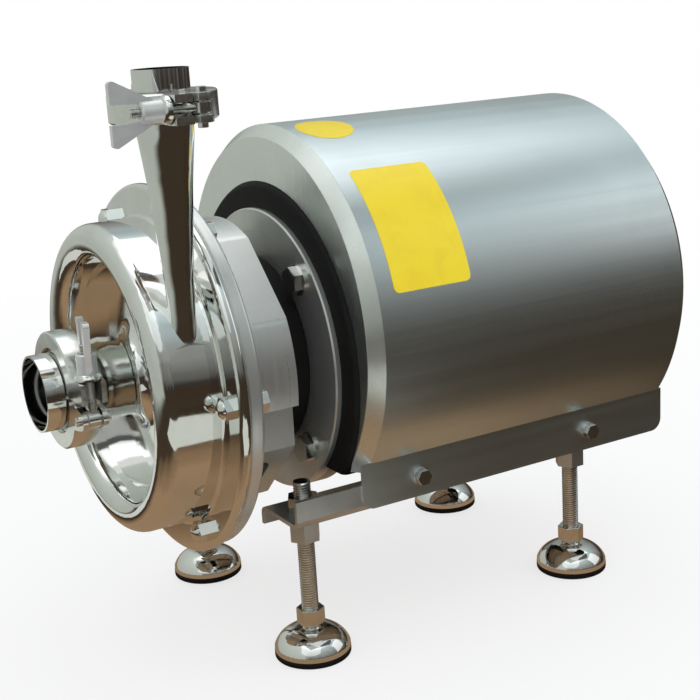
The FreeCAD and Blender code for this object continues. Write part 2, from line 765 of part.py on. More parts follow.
def motor_frame():
    """The finned housing with its four feet and the saddle of the terminal box."""
    piece = Piece("motor_frame")
    core_front = tube_front + 12
    core_back = core_front + rotor.core
    piece.turned([
        (tube_front, motor.tube_bore), (tube_front, motor.tube_radius),
        (tube_back, motor.tube_radius), (tube_back, motor.tube_bore),
        (core_back, motor.tube_bore), (core_back, motor.core_bore),
        (core_front, motor.core_bore), (core_front, motor.tube_bore)])
    half = motor.fin_thick / 2
    fin = piece.block(
        "YZ_Plane",
        rectangle(motor.tube_radius - 2, -half, motor.tube_radius + motor.fin, half),
        start=tube_front, end=tube_back)
    piece.round_the_shaft([fin], 24)
    top = -motor.height + motor.foot_thick
    inner = motor.foot_half_span - motor.foot_wide / 2
    outer = motor.foot_half_span + motor.foot_wide / 2 - 4
    for number in range(2):
        middle = flange_face + motor.foot_first + number * motor.foot_pitch
        start = middle - motor.foot_long / 2
        end = middle + motor.foot_long / 2
        for hand in (-1, 1):
            left, right = sorted((hand * inner, hand * outer), key=lambda size: size.value)
            rib = hand * (inner + 6)
            rib_left, rib_right = sorted((hand * inner, rib), key=lambda size: size.value)
            piece.block(
                "YZ_Plane", rectangle(left, -motor.height, right, top), start=start, end=end)
            piece.block(
                "YZ_Plane", rectangle(rib_left, top - 1, rib_right, -motor.foot_half_span * 0.6),
                start=start, end=end)
    box_middle = (tube_front + tube_back) / 2
    half_long = motor.box_long / 2
    half_wide = motor.box_wide / 2 - 6
    piece.block(
        "XY_Plane",
        rectangle(box_middle - half_long, -half_wide, box_middle + half_long, half_wide),
        start=motor.tube_bore, end=motor.box_seat)
    holes = []
    for number in range(2):
        middle = flange_face + motor.foot_first + number * motor.foot_pitch
        for hand in (-1, 1):
            holes.append(circle(
                middle, hand * motor.foot_half_span, screw.foot_radius + screw.hole_play))
    piece.block("XY_Plane", *holes, start=-motor.height - 1, end=top + 1, cut=True)


def motor_rear_shield():
    piece = Piece("motor_rear_shield")
    seat = motor.bearing_radius
    wall = 7
    lid_back = tube_back + motor.shield - 2
    seat_end = rear_bearing + motor.bearing
    piece.turned([
        (rear_bearing, seat), (rear_bearing, seat + wall), (tube_back, seat + wall),
        (tube_back, motor.tube_radius), (lid_back, motor.tube_radius),
        (lid_back, motor.shield_bore), (seat_end, motor.shield_bore), (seat_end, seat)])


def motor_bearings():
    bearings = []
    for front in (bearing_front, rear_bearing):
        bearings.append(ring(
            (front + motor.bearing, 0, 0), along_shaft, motor.bearing_radius,
            motor.bearing_bore + rotor.play, motor.bearing))
    group("motor_bearings", bearings)


def motor_shaft():
    piece = Piece("motor_shaft")
    front = flange_face - motor.shaft_reach
    back = tube_back + 40
    seat = motor.bearing_bore
    core_front = tube_front + 12
    core_back = core_front + rotor.core
    piece.turned([
        (front, 0), (front, motor.shaft_radius - 1), (front + 1, motor.shaft_radius),
        (bearing_front, motor.shaft_radius), (bearing_front, seat),
        (bearing_front + motor.bearing, seat), (bearing_front + motor.bearing, seat + 3),
        (core_back + 3, seat + 3), (core_back + 3, seat), (rear_bearing + motor.bearing, seat),
        (rear_bearing + motor.bearing, motor.shaft_radius), (back, motor.shaft_radius),
        (back, 0)])


def rotor_core():
    piece = Piece("rotor_core")
    core_front = tube_front + 12
    piece.turned(rectangle(
        core_front, motor.bearing_bore + 3 + rotor.play, core_front + rotor.core,
        rotor.core_radius))


def cooling_fan():
    piece = Piece("cooling_fan")
    front = tube_back + 14
    disc_back = front + rotor.fan_disc
    hub_back = disc_back + rotor.blade
    hub = rotor.sleeve_radius
    piece.turned([
        (front, motor.shaft_radius + rotor.play), (front, rotor.fan_radius),
        (disc_back, rotor.fan_radius), (disc_back, hub), (hub_back, hub),
        (hub_back, motor.shaft_radius + rotor.play)])
    half = rotor.fan_disc / 2
    blade = piece.block(
        "YZ_Plane", rectangle(hub - 2, -half, rotor.fan_radius - 0.5, half),
        start=front + 1, end=hub_back)
    piece.round_the_shaft([blade], 8)


def terminal_box():
    piece = Piece("terminal_box")
    middle = (tube_front + tube_back) / 2
    half_long = motor.box_long / 2
    half_wide = motor.box_wide / 2
    top = motor.box_seat + motor.box_high
    piece.block(
        "XY_Plane",
        rounded(middle - half_long, -half_wide, middle + half_long, half_wide, motor.fin),
        start=motor.box_seat, end=top)
    cover = 3
    piece.block(
        "XY_Plane",
        rounded(middle - half_long - 1, -half_wide - 1, middle + half_long + 1, half_wide + 1,
                motor.fin),
        start=top - 1, end=top + cover)
    wall = 4
    piece.block(
        "XY_Plane",
        rounded(middle - half_long + wall, -half_wide + wall, middle + half_long - wall,
                half_wide - wall, motor.fin / 2),
        start=motor.box_seat + wall, end=top - wall, cut=True)


def cable_gland():
    """A gland screwed into the rear wall of the terminal box, left empty."""
    piece = Piece("cable_gland")
    front = (tube_front + tube_back) / 2 + motor.box_long / 2
    height = motor.box_seat + motor.box_high / 2
    hexagonal = motor.gland_radius * 2.2
    piece.block("YZ_Plane", hexagon(0, height, hexagonal), start=front, end=front + 8)
    crown = front + motor.gland
    piece.turned([
        (front + 7, 0), (front + 7, motor.gland_radius), (crown - 3, motor.gland_radius),
        (crown, motor.gland_radius - 3, -3), (crown, 0)], at=(0, 0, height))
    piece.turned(rectangle(front + 1, 0, crown + 1, motor.gland_radius / 2),
                 at=(0, 0, height), cut=True)


def motor_foot_bolts():
    bolts = []
    for number in range(2):
        for hand in (-1, 1):
            bolts.append(hex_bolt(
                (flange_face + motor.foot_first + number * motor.foot_pitch,
                 hand * motor.foot_half_span, -motor.height + motor.foot_thick),
                None, screw.foot_radius, motor.foot_thick + rail.sheet + 5, screw.foot_flats,
                screw.foot_head))
    group("motor_foot_bolts", bolts)


# Shroud

def shroud_section(radius, half_width):
    """The upper arc of the shroud from one skirt to the other, in two parts."""
    low = shroud.centre - side(radius, half_width)
    return (half_width, low), (0, shroud.centre + radius), (-half_width, low)


def shroud_barrel():
    """The rolled sheet over the motor with its two flat skirts."""
    piece = Piece("shroud_barrel")
    outer = shroud.radius
    inner = outer - shroud.sheet
    right, top, left = shroud_section(outer, shroud.skirt)
    right_in, top_in, left_in = shroud_section(inner, rail_outer)
    piece.block(
        "YZ_Plane",
        [right, (*top, outer), (*left, outer), left_in, (*top_in, -inner), (*right_in, -inner)],
        start=shroud_front + shroud.bevel, end=shroud_back - shroud.bevel)
    front = shroud_front + shroud.skirt_front
    back = shroud_back - shroud.skirt_back
    low = -shroud.skirt_bottom
    corner = shroud.skirt_round
    first = shroud_front + shroud.bolt_first
    holes = [
        circle(first + number * shroud.bolt_pitch, -shroud.bolt_height,
               screw.shroud_radius + screw.hole_play)
        for number in range(2)]
    for start, end in ((rail_outer, shroud.skirt), (-shroud.skirt, -rail_outer)):
        piece.block(
            "XZ_Plane",
            [(front + corner, low, corner), (back - corner, low), (back, low + corner, corner),
             (back, right_in[1]), (front, right_in[1]), (front, low + corner)],
            start=start, end=end)
        piece.block("XZ_Plane", *holes, start=start, end=end, cut=True)


def end_plate_outline(front, back, bevel):
    """Half the section of an end plate: a flat sheet with a bevelled rim that meets the barrel."""
    rim = shroud.radius - shroud.bevel_drop
    sheet_depth = shroud.sheet if bevel.value > 0 else -shroud.sheet
    return [
        (front, 0), (front, rim), (back, shroud.radius), (back, shroud.radius - shroud.sheet),
        (front + sheet_depth, rim - shroud.sheet * 0.6), (front + sheet_depth, 0)]


def shroud_front_plate():
    piece = Piece("shroud_front_plate")
    rim_back = shroud_front + shroud.bevel
    piece.turned(end_plate_outline(shroud_front, rim_back, shroud.bevel),
                 at=(0, 0, shroud.centre))
    wide = shroud.radius + 5
    piece.block(
        "YZ_Plane", circle(0, 0, shroud.mouth_radius), start=shroud_front - 1,
        end=rim_back + 1, cut=True)
    piece.block(
        "YZ_Plane", rectangle(-wide, -wide, wide, -shroud.plate_bottom),
        start=shroud_front - 1, end=rim_back + 1, cut=True)


def shroud_rear_plate():
    """The rear plate with a stack of air slots behind the fan."""
    piece = Piece("shroud_rear_plate")
    rim_front = shroud_back - shroud.bevel
    piece.turned(end_plate_outline(shroud_back, rim_front, -shroud.bevel),
                 at=(0, 0, shroud.centre))
    wide = shroud.radius + 5
    piece.block(
        "YZ_Plane", rectangle(-wide, -wide, wide, -shroud.plate_bottom),
        start=rim_front - 1, end=shroud_back + 1, cut=True)
    half = shroud.louvre_long / 2
    slots = []
    for row in range(7):
        middle = (row - 3) * shroud.louvre_pitch
        slots.append(rectangle(
            -half, middle - shroud.louvre_high / 2, half, middle + shroud.louvre_high / 2))
    piece.block(
        "YZ_Plane", *slots, start=shroud_back - 3, end=shroud_back + 1, cut=True)


def shroud_seal():
    """The black ring that fills the gap between the motor flange and the shroud's mouth."""
    piece = Piece("shroud_seal")
    inner = adapter.rear_radius + 0.1
    outer = shroud.mouth_radius - 0.1
    front = flange_face - 4
    back = shroud_front + shroud.sheet + 5
    edge = 4
    piece.turned([
        (front, inner), (front, outer - edge), (front + edge, outer, -edge), (back, outer),
        (back, inner)])
    piece.block(
        "YZ_Plane", rectangle(-outer - 1, -outer - 1, outer + 1, -shroud.plate_bottom - 2),
        start=front - 1, end=back + 1, cut=True)


def shroud_fasteners():
    """Four bolts with washers that hold the skirts to the rails."""
    bolts = []
    washers = []
    for hand, outwards in ((-1, towards_near), (1, towards_far)):
        for number in range(2):
            along = shroud_front + shroud.bolt_first + number * shroud.bolt_pitch
            washer_face = hand * (shroud.skirt + screw.washer)
            bolts.append(hex_bolt(
                (along, washer_face, -shroud.bolt_height), outwards, screw.shroud_radius,
                screw.washer + shroud.sheet + rail.sheet + 5, screw.shroud_flats,
                screw.shroud_head))
            washers.append(ring(
                (along, hand * shroud.skirt, -shroud.bolt_height), outwards,
                screw.shroud_washer, screw.shroud_radius + 0.2, screw.washer))
    group("shroud_bolts", bolts)
    group("shroud_washers", washers)


# Rails and feet

def z_rail(label, hand):
    """A folded rail: inner flange down, web, outer flange up, with two nuts welded below."""
    piece = Piece(label)
    thick = rail.sheet
    tight = rail.bend
    wide = tight + thick
    top = web_top + rail.lip
    low = web_top - rail.drop
    section = [
        (rail_outer, top), (rail_outer - thick, top), (rail_outer - thick, web_top + tight),
        (rail_outer - thick - tight, web_top, -tight), (rail.inner + wide, web_top),
        (rail.inner, web_top - wide, wide), (rail.inner, low), (rail.inner + thick, low),
        (rail.inner + thick, web_bottom - tight), (rail.inner + wide, web_bottom, -tight),
        (rail_outer - wide, web_bottom), (rail_outer, web_bottom + wide, wide)]
    if hand < 0:
        mirrored = []
        for corner in section:
            mirrored.append((-corner[0], corner[1], *[-radius for radius in corner[2:]]))
        section = mirrored
    piece.block("YZ_Plane", section, start=rail_front, end=rail_back)
    level = sorted((-hand * rail_outer, -hand * (rail_outer - thick)), key=lambda size: size.value)
    front = shroud_front + shroud.bevel + 4
    back = rail_back - 2
    piece.block(
        "XZ_Plane", rounded(front, top - 8, back, web_top + rail.tall, 3),
        start=level[0], end=level[1])
    bolt_first = shroud_front + shroud.bolt_first
    piece.block(
        "XZ_Plane",
        *[circle(bolt_first + number * shroud.bolt_pitch, -shroud.bolt_height,
                 screw.shroud_radius + rotor.play) for number in range(2)],
        start=level[0], end=level[1], cut=True)
    rods = [place for place in foot_places.values() if place[1].value * hand > 0]
    for along, across in rods:
        piece.block(
            "XY_Plane", hexagon(along, across, foot.flats),
            start=web_bottom - foot.weld_nut, end=web_bottom)
    holes = [circle(along, across, foot.rod + foot.thread_play) for along, across in rods]
    for number in range(2):
        holes.append(circle(
            flange_face + motor.foot_first + number * motor.foot_pitch,
            hand * motor.foot_half_span, screw.foot_radius + screw.hole_play))
    piece.block(
        "XY_Plane", *holes, start=web_bottom - foot.weld_nut - 1, end=web_top + 1, cut=True)


def foot_lock_nuts():
    nuts = []
    for along, across in foot_places.values():
        body = solid("Prism", (0, 0, 0), Circumradius=foot.flats / math.sqrt(3),
                     Height=foot.lock_nut)
        bore = solid("Cylinder", (0, 0, -1), Radius=foot.rod + foot.thread_play,
                     Height=foot.lock_nut + 2)
        nuts.append(cut(body, bore, (along, across, web_top)))
    group("foot_lock_nuts", nuts)


def levelling_foot(name, along, across):
    """A threaded stem with a ball end, the bell that sits on the ball, and its rubber pad."""
    collar_top = web_top - foot.collar_top
    collar_bottom = collar_top - foot.collar
    ball_middle = web_top - foot.ball_drop
    stem = Piece(f"foot_{name}_stem")
    top = web_top + foot.rod_rise
    stem.spun([
        (0, top), (foot.rod - 1, top), (foot.rod, top - 1), (foot.rod, collar_bottom),
        (foot.neck, collar_bottom), (foot.neck, ball_middle + side(foot.ball, foot.neck)),
        (foot.ball, ball_middle, -foot.ball), (0, ball_middle - foot.ball, -foot.ball)])
    stem.block(
        "XY_Plane", hexagon(0, 0, foot.collar_flats), start=collar_bottom, end=collar_top)
    socket = foot.ball + foot.socket_play
    crown = web_top - foot.bell_top
    floor = web_top - foot.bell_bottom
    bell = Piece(f"foot_{name}_bell")
    bell.spun([
        (socket, floor), (foot.bell_radius, floor), (foot.bell_radius, floor + foot.bell_rim),
        (foot.bell_crown, crown, foot.bell_round), (foot.mouth, crown),
        (foot.mouth, ball_middle + side(socket, foot.mouth)), (socket, ball_middle, -socket)])
    pad = Piece(f"foot_{name}_pad")
    edge = 1.5
    low = floor - foot.pad
    pad.spun([
        (0, low), (foot.pad_radius - edge, low), (foot.pad_radius, low + edge, edge),
        (foot.pad_radius, floor), (0, floor)])
    for piece in (stem, bell, pad):
        piece.place((along, across, 0))


# Clamps

def clamp_measures(own, tube, rim, to_world, rotation):
    """The measures of one clamp, in a frame with X along the pipe and Z along the bolt."""
    outer = rim + clamp.rim_wall
    lever = outer + clamp.lever
    return SimpleNamespace(
        own=own, rim=rim, inner=tube + clamp.tube_gap, outer=outer, lever=lever,
        ear=lever + clamp.ear, middle=(rim + 0.5 + outer) / 2, to_world=to_world,
        rotation=rotation, slot=own.bolt + clamp.slot_play,
        slot_end=lever - clamp.eye - 0.6)


def clamp_ring(piece, measure, first):
    """Half of the ring, with the groove that holds both ferrules."""
    half = clamp.width / 2
    rise = measure.rim + 0.5
    lips = port.lip + port.gasket / 2 + clamp.groove_gap
    top = lips - (rise - measure.rim) * port.slope
    low = lips + (measure.rim - measure.inner) * port.slope
    gap = math.degrees(math.asin(clamp.split.value / 2 / measure.middle.value))
    edge = 1
    piece.turned(
        [(-half, measure.inner), (-low, measure.inner), (-top, rise), (top, rise),
         (low, measure.inner), (half, measure.inner), (half, measure.outer - edge),
         (half - edge, measure.outer), (edge - half, measure.outer),
         (-half, measure.outer - edge)],
        first=first + gap, sweep=180 - 2 * gap)


def clamp_fixed_half(label, measure):
    """The half that carries both pins: a fork for the swing bolt and two outer knuckles."""
    piece = Piece(label)
    clamp_ring(piece, measure, 180)
    half = clamp.width / 2
    drop = measure.own.drop
    lug = clamp.lug
    lever = measure.lever
    piece.block(
        "YZ_Plane",
        [polar(measure.middle, 183), (-lever, lug - drop), (-lever - lug, -drop, lug),
         (-lever, -drop - lug, lug), polar(measure.middle, 213)],
        start=-half, end=half)
    piece.block("YZ_Plane", circle(lever, 0, clamp.knuckle), start=-half, end=half)
    piece.block(
        "YZ_Plane",
        [polar(measure.middle, -3), polar(measure.middle, -28), (lever, -clamp.knuckle),
         (lever, -clamp.split / 2)],
        start=-half, end=half)
    reach = lever + clamp.knuckle + 1
    gap = clamp.knuckle_wide / 2
    piece.block(
        "YZ_Plane",
        rectangle(measure.outer + 0.5, -clamp.knuckle - 6, reach, clamp.knuckle + 1),
        start=-gap, end=gap, cut=True)
    piece.block(
        "YZ_Plane",
        rectangle(-measure.ear - 1, -drop - lug - 4, -measure.slot_end, 0),
        start=-measure.slot, end=measure.slot, cut=True)
    hole = clamp.pin + clamp.pin_play
    piece.block(
        "YZ_Plane", circle(lever, 0, hole), circle(-lever, -drop, hole), start=-half - 1,
        end=half + 1, cut=True)
    piece.place(measure.to_world(0, 0, 0), measure.rotation)


def clamp_moving_half(label, measure):
    """The half that swings open: a slotted ear for the bolt and one middle knuckle."""
    piece = Piece(label)
    clamp_ring(piece, measure, 0)
    half = clamp.width / 2
    lever = measure.lever
    seat_radius = measure.own.seat + measure.own.drop
    seat_edge = side(seat_radius, clamp.ear) - measure.own.drop
    low = clamp.split / 2
    piece.block(
        "YZ_Plane",
        [polar(measure.middle, 156), polar(measure.middle, 177), (-measure.ear, low),
         (-measure.ear, seat_edge), (clamp.ear - lever, seat_edge, -seat_radius)],
        start=-half, end=half)
    knuckle_half = clamp.knuckle_wide / 2 - clamp.knuckle_play
    piece.block(
        "YZ_Plane", circle(lever, 0, clamp.knuckle), start=-knuckle_half, end=knuckle_half)
    piece.block(
        "YZ_Plane",
        [polar(measure.middle, 3), (lever, low), (lever, clamp.knuckle),
         polar(measure.middle, 28)],
        start=-knuckle_half, end=knuckle_half)
    piece.block(
        "YZ_Plane",
        rectangle(-measure.ear - 1, 0, -measure.slot_end, seat_radius),
        start=-measure.slot, end=measure.slot, cut=True)
    piece.block(
        "YZ_Plane", circle(lever, 0, clamp.pin + clamp.pin_play), start=-half, end=half,
        cut=True)
    piece.place(measure.to_world(0, 0, 0), measure.rotation)


def clamp_swing_bolt(label, measure):
    """An eye bolt that swings about its pin."""
    piece = Piece(label)
    radius = measure.own.bolt
    top = measure.own.drop + measure.own.seat + clamp.washer + clamp.barrel + 6
    eye_half = radius + clamp.knuckle_play
    piece.block("YZ_Plane", circle(0, 0, clamp.eye), start=-eye_half, end=eye_half)
    piece.spun([(0, 1), (radius, 1), (radius, top - 1), (radius - 1, top), (0, top)])
    piece.block(
        "YZ_Plane", circle(0, 0, clamp.pin + clamp.pin_play), start=-radius - 1,
        end=radius + 1, cut=True)
    piece.place(measure.to_world(0, -measure.lever, -measure.own.drop), measure.rotation)


def clamp_washer(label, measure):
    """The domed washer between the ear and the wing nut."""
    piece = Piece(label)
    bore = measure.own.bolt + 0.1
    rim = clamp.washer_radius
    piece.spun([
        (bore, clamp.seat_gap), (rim, clamp.seat_gap), (rim, 1.2),
        (clamp.barrel_radius, clamp.washer - clamp.seat_gap, 6),
        (bore, clamp.washer - clamp.seat_gap)])
    piece.place(measure.to_world(0, -measure.lever, measure.own.seat), measure.rotation)


def clamp_wing_nut(label, measure, turn):
    """A barrel nut with two flat wings that spread upwards."""
    piece = Piece(label)
    own = measure.own
    bore = own.bolt + rotor.play
    radius = clamp.barrel_radius
    piece.spun([
        (bore, 0), (radius, 0), (radius, clamp.barrel - 1), (radius - 1, clamp.barrel),
        (bore, clamp.barrel)])
    tip = 1.5
    root = own.wing_root
    for hand in (-1, 1):
        outline = [
            (hand * (root - 1), 2), (hand * own.wing_reach, own.wing_length - 3),
            (hand * (own.wing_reach - tip), own.wing_length, hand * 3),
            (hand * (root - 0.5), own.wing_length), (hand * (root - 1), clamp.barrel)]
        if hand < 0:
            outline = [outline[0], *reversed(outline[1:])]
            outline = [outline[0], outline[1], outline[2], outline[3][:2], (*outline[4], 3)]
        piece.block("XZ_Plane", outline, start=-clamp.wing / 2, end=clamp.wing / 2)
    spin = FreeCAD.Rotation(FreeCAD.Vector(0, 0, 1), turn)
    height = own.seat + clamp.washer
    piece.place(measure.to_world(0, -measure.lever, height), measure.rotation.multiply(spin))


def clamps():
    """Both pipe clamps. The frame of the discharge clamp has X up and Z towards the suction side."""
    middle = port.stub + port.gasket / 2
    outlet_middle = outlet_face - port.gasket / 2
    suction = clamp_measures(
        suction_clamp_size, port.suction_tube, port.suction_rim,
        lambda along, across, up: (middle + along, across, up), FreeCAD.Rotation())
    discharge = clamp_measures(
        discharge_clamp_size, port.discharge_tube, port.discharge_rim,
        lambda along, across, up: (outlet_x - up, across - outlet.offset, outlet_middle + along),
        along_shaft)
    clamp_fixed_half("suction_clamp_lower", suction)
    clamp_fixed_half("discharge_clamp_rear", discharge)
    clamp_moving_half("suction_clamp_upper", suction)
    clamp_moving_half("discharge_clamp_front", discharge)
    clamp_swing_bolt("suction_swing_bolt", suction)
    clamp_swing_bolt("discharge_swing_bolt", discharge)
    clamp_washer("suction_washer", suction)
    clamp_washer("discharge_washer", discharge)
    clamp_wing_nut("suction_wing_nut", suction, 80)
    clamp_wing_nut("discharge_wing_nut", discharge, 0)
    pins = []
    start = -clamp.width / 2 - clamp.pin_proud
    for measure in (suction, discharge):
        for across, up in ((measure.lever, 0), (-measure.lever, -measure.own.drop)):
            turned = measure.rotation.multiply(down_the_pipe)
            pins.append(solid(
                "Cylinder", measure.to_world(start, across, up), turned, Radius=clamp.pin,
                Height=clamp.width + 2 * clamp.pin_proud))
    group("clamp_pins", pins)


# The whole pump

ports()
pump_casing()
casing_fasteners()
casing_gasket()
back_plate()
lantern()
splash_ring()
flange_bolts()
pump_shaft()
impeller()
impeller_nut()
seal()
motor_flange()
motor_frame()
motor_rear_shield()
motor_bearings()
motor_shaft()
rotor_core()
cooling_fan()
terminal_box()
cable_gland()
motor_foot_bolts()
shroud_barrel()
shroud_front_plate()
shroud_rear_plate()
shroud_seal()
shroud_fasteners()
z_rail("near_rail", -1)
z_rail("far_rail", 1)
foot_lock_nuts()
for foot_name, foot_place in foot_places.items():
    levelling_foot(foot_name, *foot_place)
clamps()
doc.recompute()

for item in doc.Objects:
    if "Invalid" in item.State or "Error" in item.State:
        raise ValueError(f"{item.Label} did not recompute: {item.State}")
faulty = [item.Label for item in pieces if item.Shape.isNull() or not item.Shape.isValid()]
if faulty:
    raise ValueError(f"no valid shape: {faulty}")

os.makedirs("parts", exist_ok=True)
for item in pieces:
    item.Shape.exportStep(f"parts/{item.Label}.step")
    print(item.Label, len(item.Shape.Solids), round(item.Shape.Volume))
print(len(pieces), "pieces")
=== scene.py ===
# %% [markdown]
# # A hygienic centrifugal pump, dressed for its picture
# The solids of this pump come from a CAD program and never move: they are the frame.
# This lesson gives them their steel, rubber and paint, adds the details that only the
# eye needs, such as screw threads and stickers, and sets up a small photo studio.

# %% Load the frame
import math

import bmesh
import bpy
from mathutils import Matrix, Vector


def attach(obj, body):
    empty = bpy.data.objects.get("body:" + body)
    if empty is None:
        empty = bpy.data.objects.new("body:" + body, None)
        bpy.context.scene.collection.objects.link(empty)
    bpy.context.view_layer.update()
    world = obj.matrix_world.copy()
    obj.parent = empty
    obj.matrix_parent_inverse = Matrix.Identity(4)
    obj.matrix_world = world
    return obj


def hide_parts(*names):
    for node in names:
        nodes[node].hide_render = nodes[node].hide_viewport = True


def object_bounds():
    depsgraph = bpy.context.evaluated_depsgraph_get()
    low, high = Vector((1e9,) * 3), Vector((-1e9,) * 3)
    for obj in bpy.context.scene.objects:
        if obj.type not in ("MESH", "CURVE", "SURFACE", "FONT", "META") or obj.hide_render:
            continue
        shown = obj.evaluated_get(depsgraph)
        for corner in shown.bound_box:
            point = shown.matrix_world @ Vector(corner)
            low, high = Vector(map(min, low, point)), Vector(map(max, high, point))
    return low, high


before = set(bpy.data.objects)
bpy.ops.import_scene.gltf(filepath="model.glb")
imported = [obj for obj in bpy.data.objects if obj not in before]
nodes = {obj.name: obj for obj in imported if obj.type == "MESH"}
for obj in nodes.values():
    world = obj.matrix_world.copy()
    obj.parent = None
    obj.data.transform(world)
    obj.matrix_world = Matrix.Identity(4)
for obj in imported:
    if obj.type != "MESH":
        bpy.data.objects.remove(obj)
cad_box = [[float(value) for value in corner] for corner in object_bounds()]
print("solids:", len(nodes), "box in metres:", cad_box)

# %% [markdown]
# ## The camera
# A picture is easiest to compare with a photograph when both are taken from one place.
# The place and the three angles were worked out from the tubes and the motor's axis in
# the photograph. A camera's matrix holds its right, up and backward directions as
# columns, so the roll can be put in by turning right and up about the line of sight.

# %% Put the camera where the photographer stood
eye = Vector((-0.236, -0.8146, 0.2334))
yaw, pitch, roll = math.radians(59.8), math.radians(-14.5), math.radians(-3.4)
ahead = Vector((math.cos(pitch) * math.cos(yaw), math.cos(pitch) * math.sin(yaw), math.sin(pitch)))
level = ahead.cross(Vector((0, 0, 1))).normalized()
straight_up = level.cross(ahead)
right = math.cos(roll) * level + math.sin(roll) * straight_up
up = -math.sin(roll) * level + math.cos(roll) * straight_up
camera_data = bpy.data.cameras.new("camera")
camera_data.lens = 67.85
camera_data.sensor_width = 36
camera_data.shift_y = -0.0071
camera = bpy.data.objects.new("camera", camera_data)
camera.matrix_world = Matrix.Translation(eye) @ Matrix((right, up, -ahead)).transposed().to_4x4()
bpy.context.scene.collection.objects.link(camera)
bpy.context.scene.camera = camera
print("camera at", tuple(round(value, 3) for value in eye))

# %% [markdown]
# ## Small helpers for materials
# Every material is a little network of nodes. A few helpers keep the cells short: one
# adds a node and fills in its sockets, two open and close a group with named sockets,
# and one puts a mesh into the scene. A group is built once and used by many materials,
# each with its own values.

# %% Helpers that add nodes, groups and objects
def add(tree, kind, sockets=None, **settings):
    """Add a node, set its properties, and fill or link its input sockets."""
    node = tree.nodes.new(kind)
    for name, value in settings.items():
        setattr(node, name, value)
    for name, value in (sockets or {}).items():
        if isinstance(value, bpy.types.NodeSocket):
            tree.links.new(value, node.inputs[name])
        else:
            node.inputs[name].default_value = value
    return node


def new_group(name, inputs, outputs):
    """Start a shader node group and return it with its two end nodes."""
    group = bpy.data.node_groups.new(name, "ShaderNodeTree")
    for label, kind, value in inputs:
        socket = group.interface.new_socket(label, in_out="INPUT", socket_type=kind)
        socket.default_value = value
    for label, kind in outputs:
        group.interface.new_socket(label, in_out="OUTPUT", socket_type=kind)
    return group, add(group, "NodeGroupInput"), add(group, "NodeGroupOutput")


def close_group(group, end, **results):
    """Link the results to the group's outputs."""
    for name, socket in results.items():
        group.links.new(socket, end.inputs[name])
    print("group", group.name, "with", len(group.nodes), "nodes")


def object_from(name, mesh):
    """Turn a bmesh into an object of the scene and free the bmesh."""
    data = bpy.data.meshes.new(name)
    mesh.to_mesh(data)
    mesh.free()
    made = bpy.data.objects.new(name, data)
    bpy.context.scene.collection.objects.link(made)
    return made


NUMBER, VECTOR = "NodeSocketFloat", "NodeSocketVector"
# The Mix node has a pair of inputs for each kind of data; these are its colour sockets.
FIRST_COLOUR, SECOND_COLOUR, MIXED_COLOUR = 6, 7, 2

# %% [markdown]
# ## What a polishing wheel leaves
# Mirror steel is never a perfect mirror. The wheel leaves slow waves, which bend the
# reflections a little, and a faint haze that comes and goes. Two noises are enough:
# a slow one feeds a bump, a finer one makes the haze mask.

# %% Group: hand polish
polish, start, end = new_group(
    "hand_polish", [("Scale", NUMBER, 12.0), ("Depth", NUMBER, 0.1)],
    [("Mask", NUMBER), ("Normal", VECTOR)])
place = add(polish, "ShaderNodeTexCoord").outputs["Object"]
waves = add(polish, "ShaderNodeTexNoise", {
    "Vector": place, "Scale": start.outputs["Scale"], "Detail": 2.0, "Roughness": 0.4})
finer = add(polish, "ShaderNodeMath", {0: start.outputs["Scale"], 1: 9.0}, operation="MULTIPLY")
haze = add(polish, "ShaderNodeTexNoise", {
    "Vector": place, "Scale": finer.outputs[0], "Detail": 6.0, "Roughness": 0.65})
bend = add(polish, "ShaderNodeBump", {
    "Height": waves.outputs["Fac"], "Strength": start.outputs["Depth"], "Distance": 0.002})
close_group(polish, end, Mask=haze.outputs["Fac"], Normal=bend.outputs["Normal"])

# %% [markdown]
# ## What a brushing belt leaves
# Sheet steel is brushed along one direction, in lines a few centimetres long and a
# fraction of a millimetre wide. A noise looks like that when its space is squeezed:
# the group multiplies the place by a vector that is small along the lines and large
# across them. A second, coarser noise makes some streaks stand out.

# %% Group: straight brushing
brushing, start, end = new_group(
    "straight_brushing", [("Squeeze", VECTOR, (4.0, 900.0, 900.0)), ("Depth", NUMBER, 0.1)],
    [("Mask", NUMBER), ("Normal", VECTOR)])
place = add(brushing, "ShaderNodeTexCoord").outputs["Object"]
squeezed = add(brushing, "ShaderNodeVectorMath", {
    0: place, 1: start.outputs["Squeeze"]}, operation="MULTIPLY")
fine = add(brushing, "ShaderNodeTexNoise", {
    "Vector": squeezed.outputs[0], "Scale": 1.0, "Detail": 5.0, "Roughness": 0.7})
coarse = add(brushing, "ShaderNodeTexNoise", {
    "Vector": squeezed.outputs[0], "Scale": 0.17, "Detail": 3.0})
both = add(brushing, "ShaderNodeMath", {
    0: fine.outputs["Fac"], 1: coarse.outputs["Fac"]}, operation="ADD")
half = add(brushing, "ShaderNodeMath", {0: both.outputs[0], 1: 0.5}, operation="MULTIPLY")
bend = add(brushing, "ShaderNodeBump", {
    "Height": half.outputs[0], "Strength": start.outputs["Depth"], "Distance": 0.0004})
close_group(brushing, end, Mask=half.outputs[0], Normal=bend.outputs["Normal"])

# %% [markdown]
# ## What a lathe tool leaves
# A turned face has fine rings about the shaft. The rings appear when a noise reads only
# the distance along the shaft and the distance from it, and not the angle.

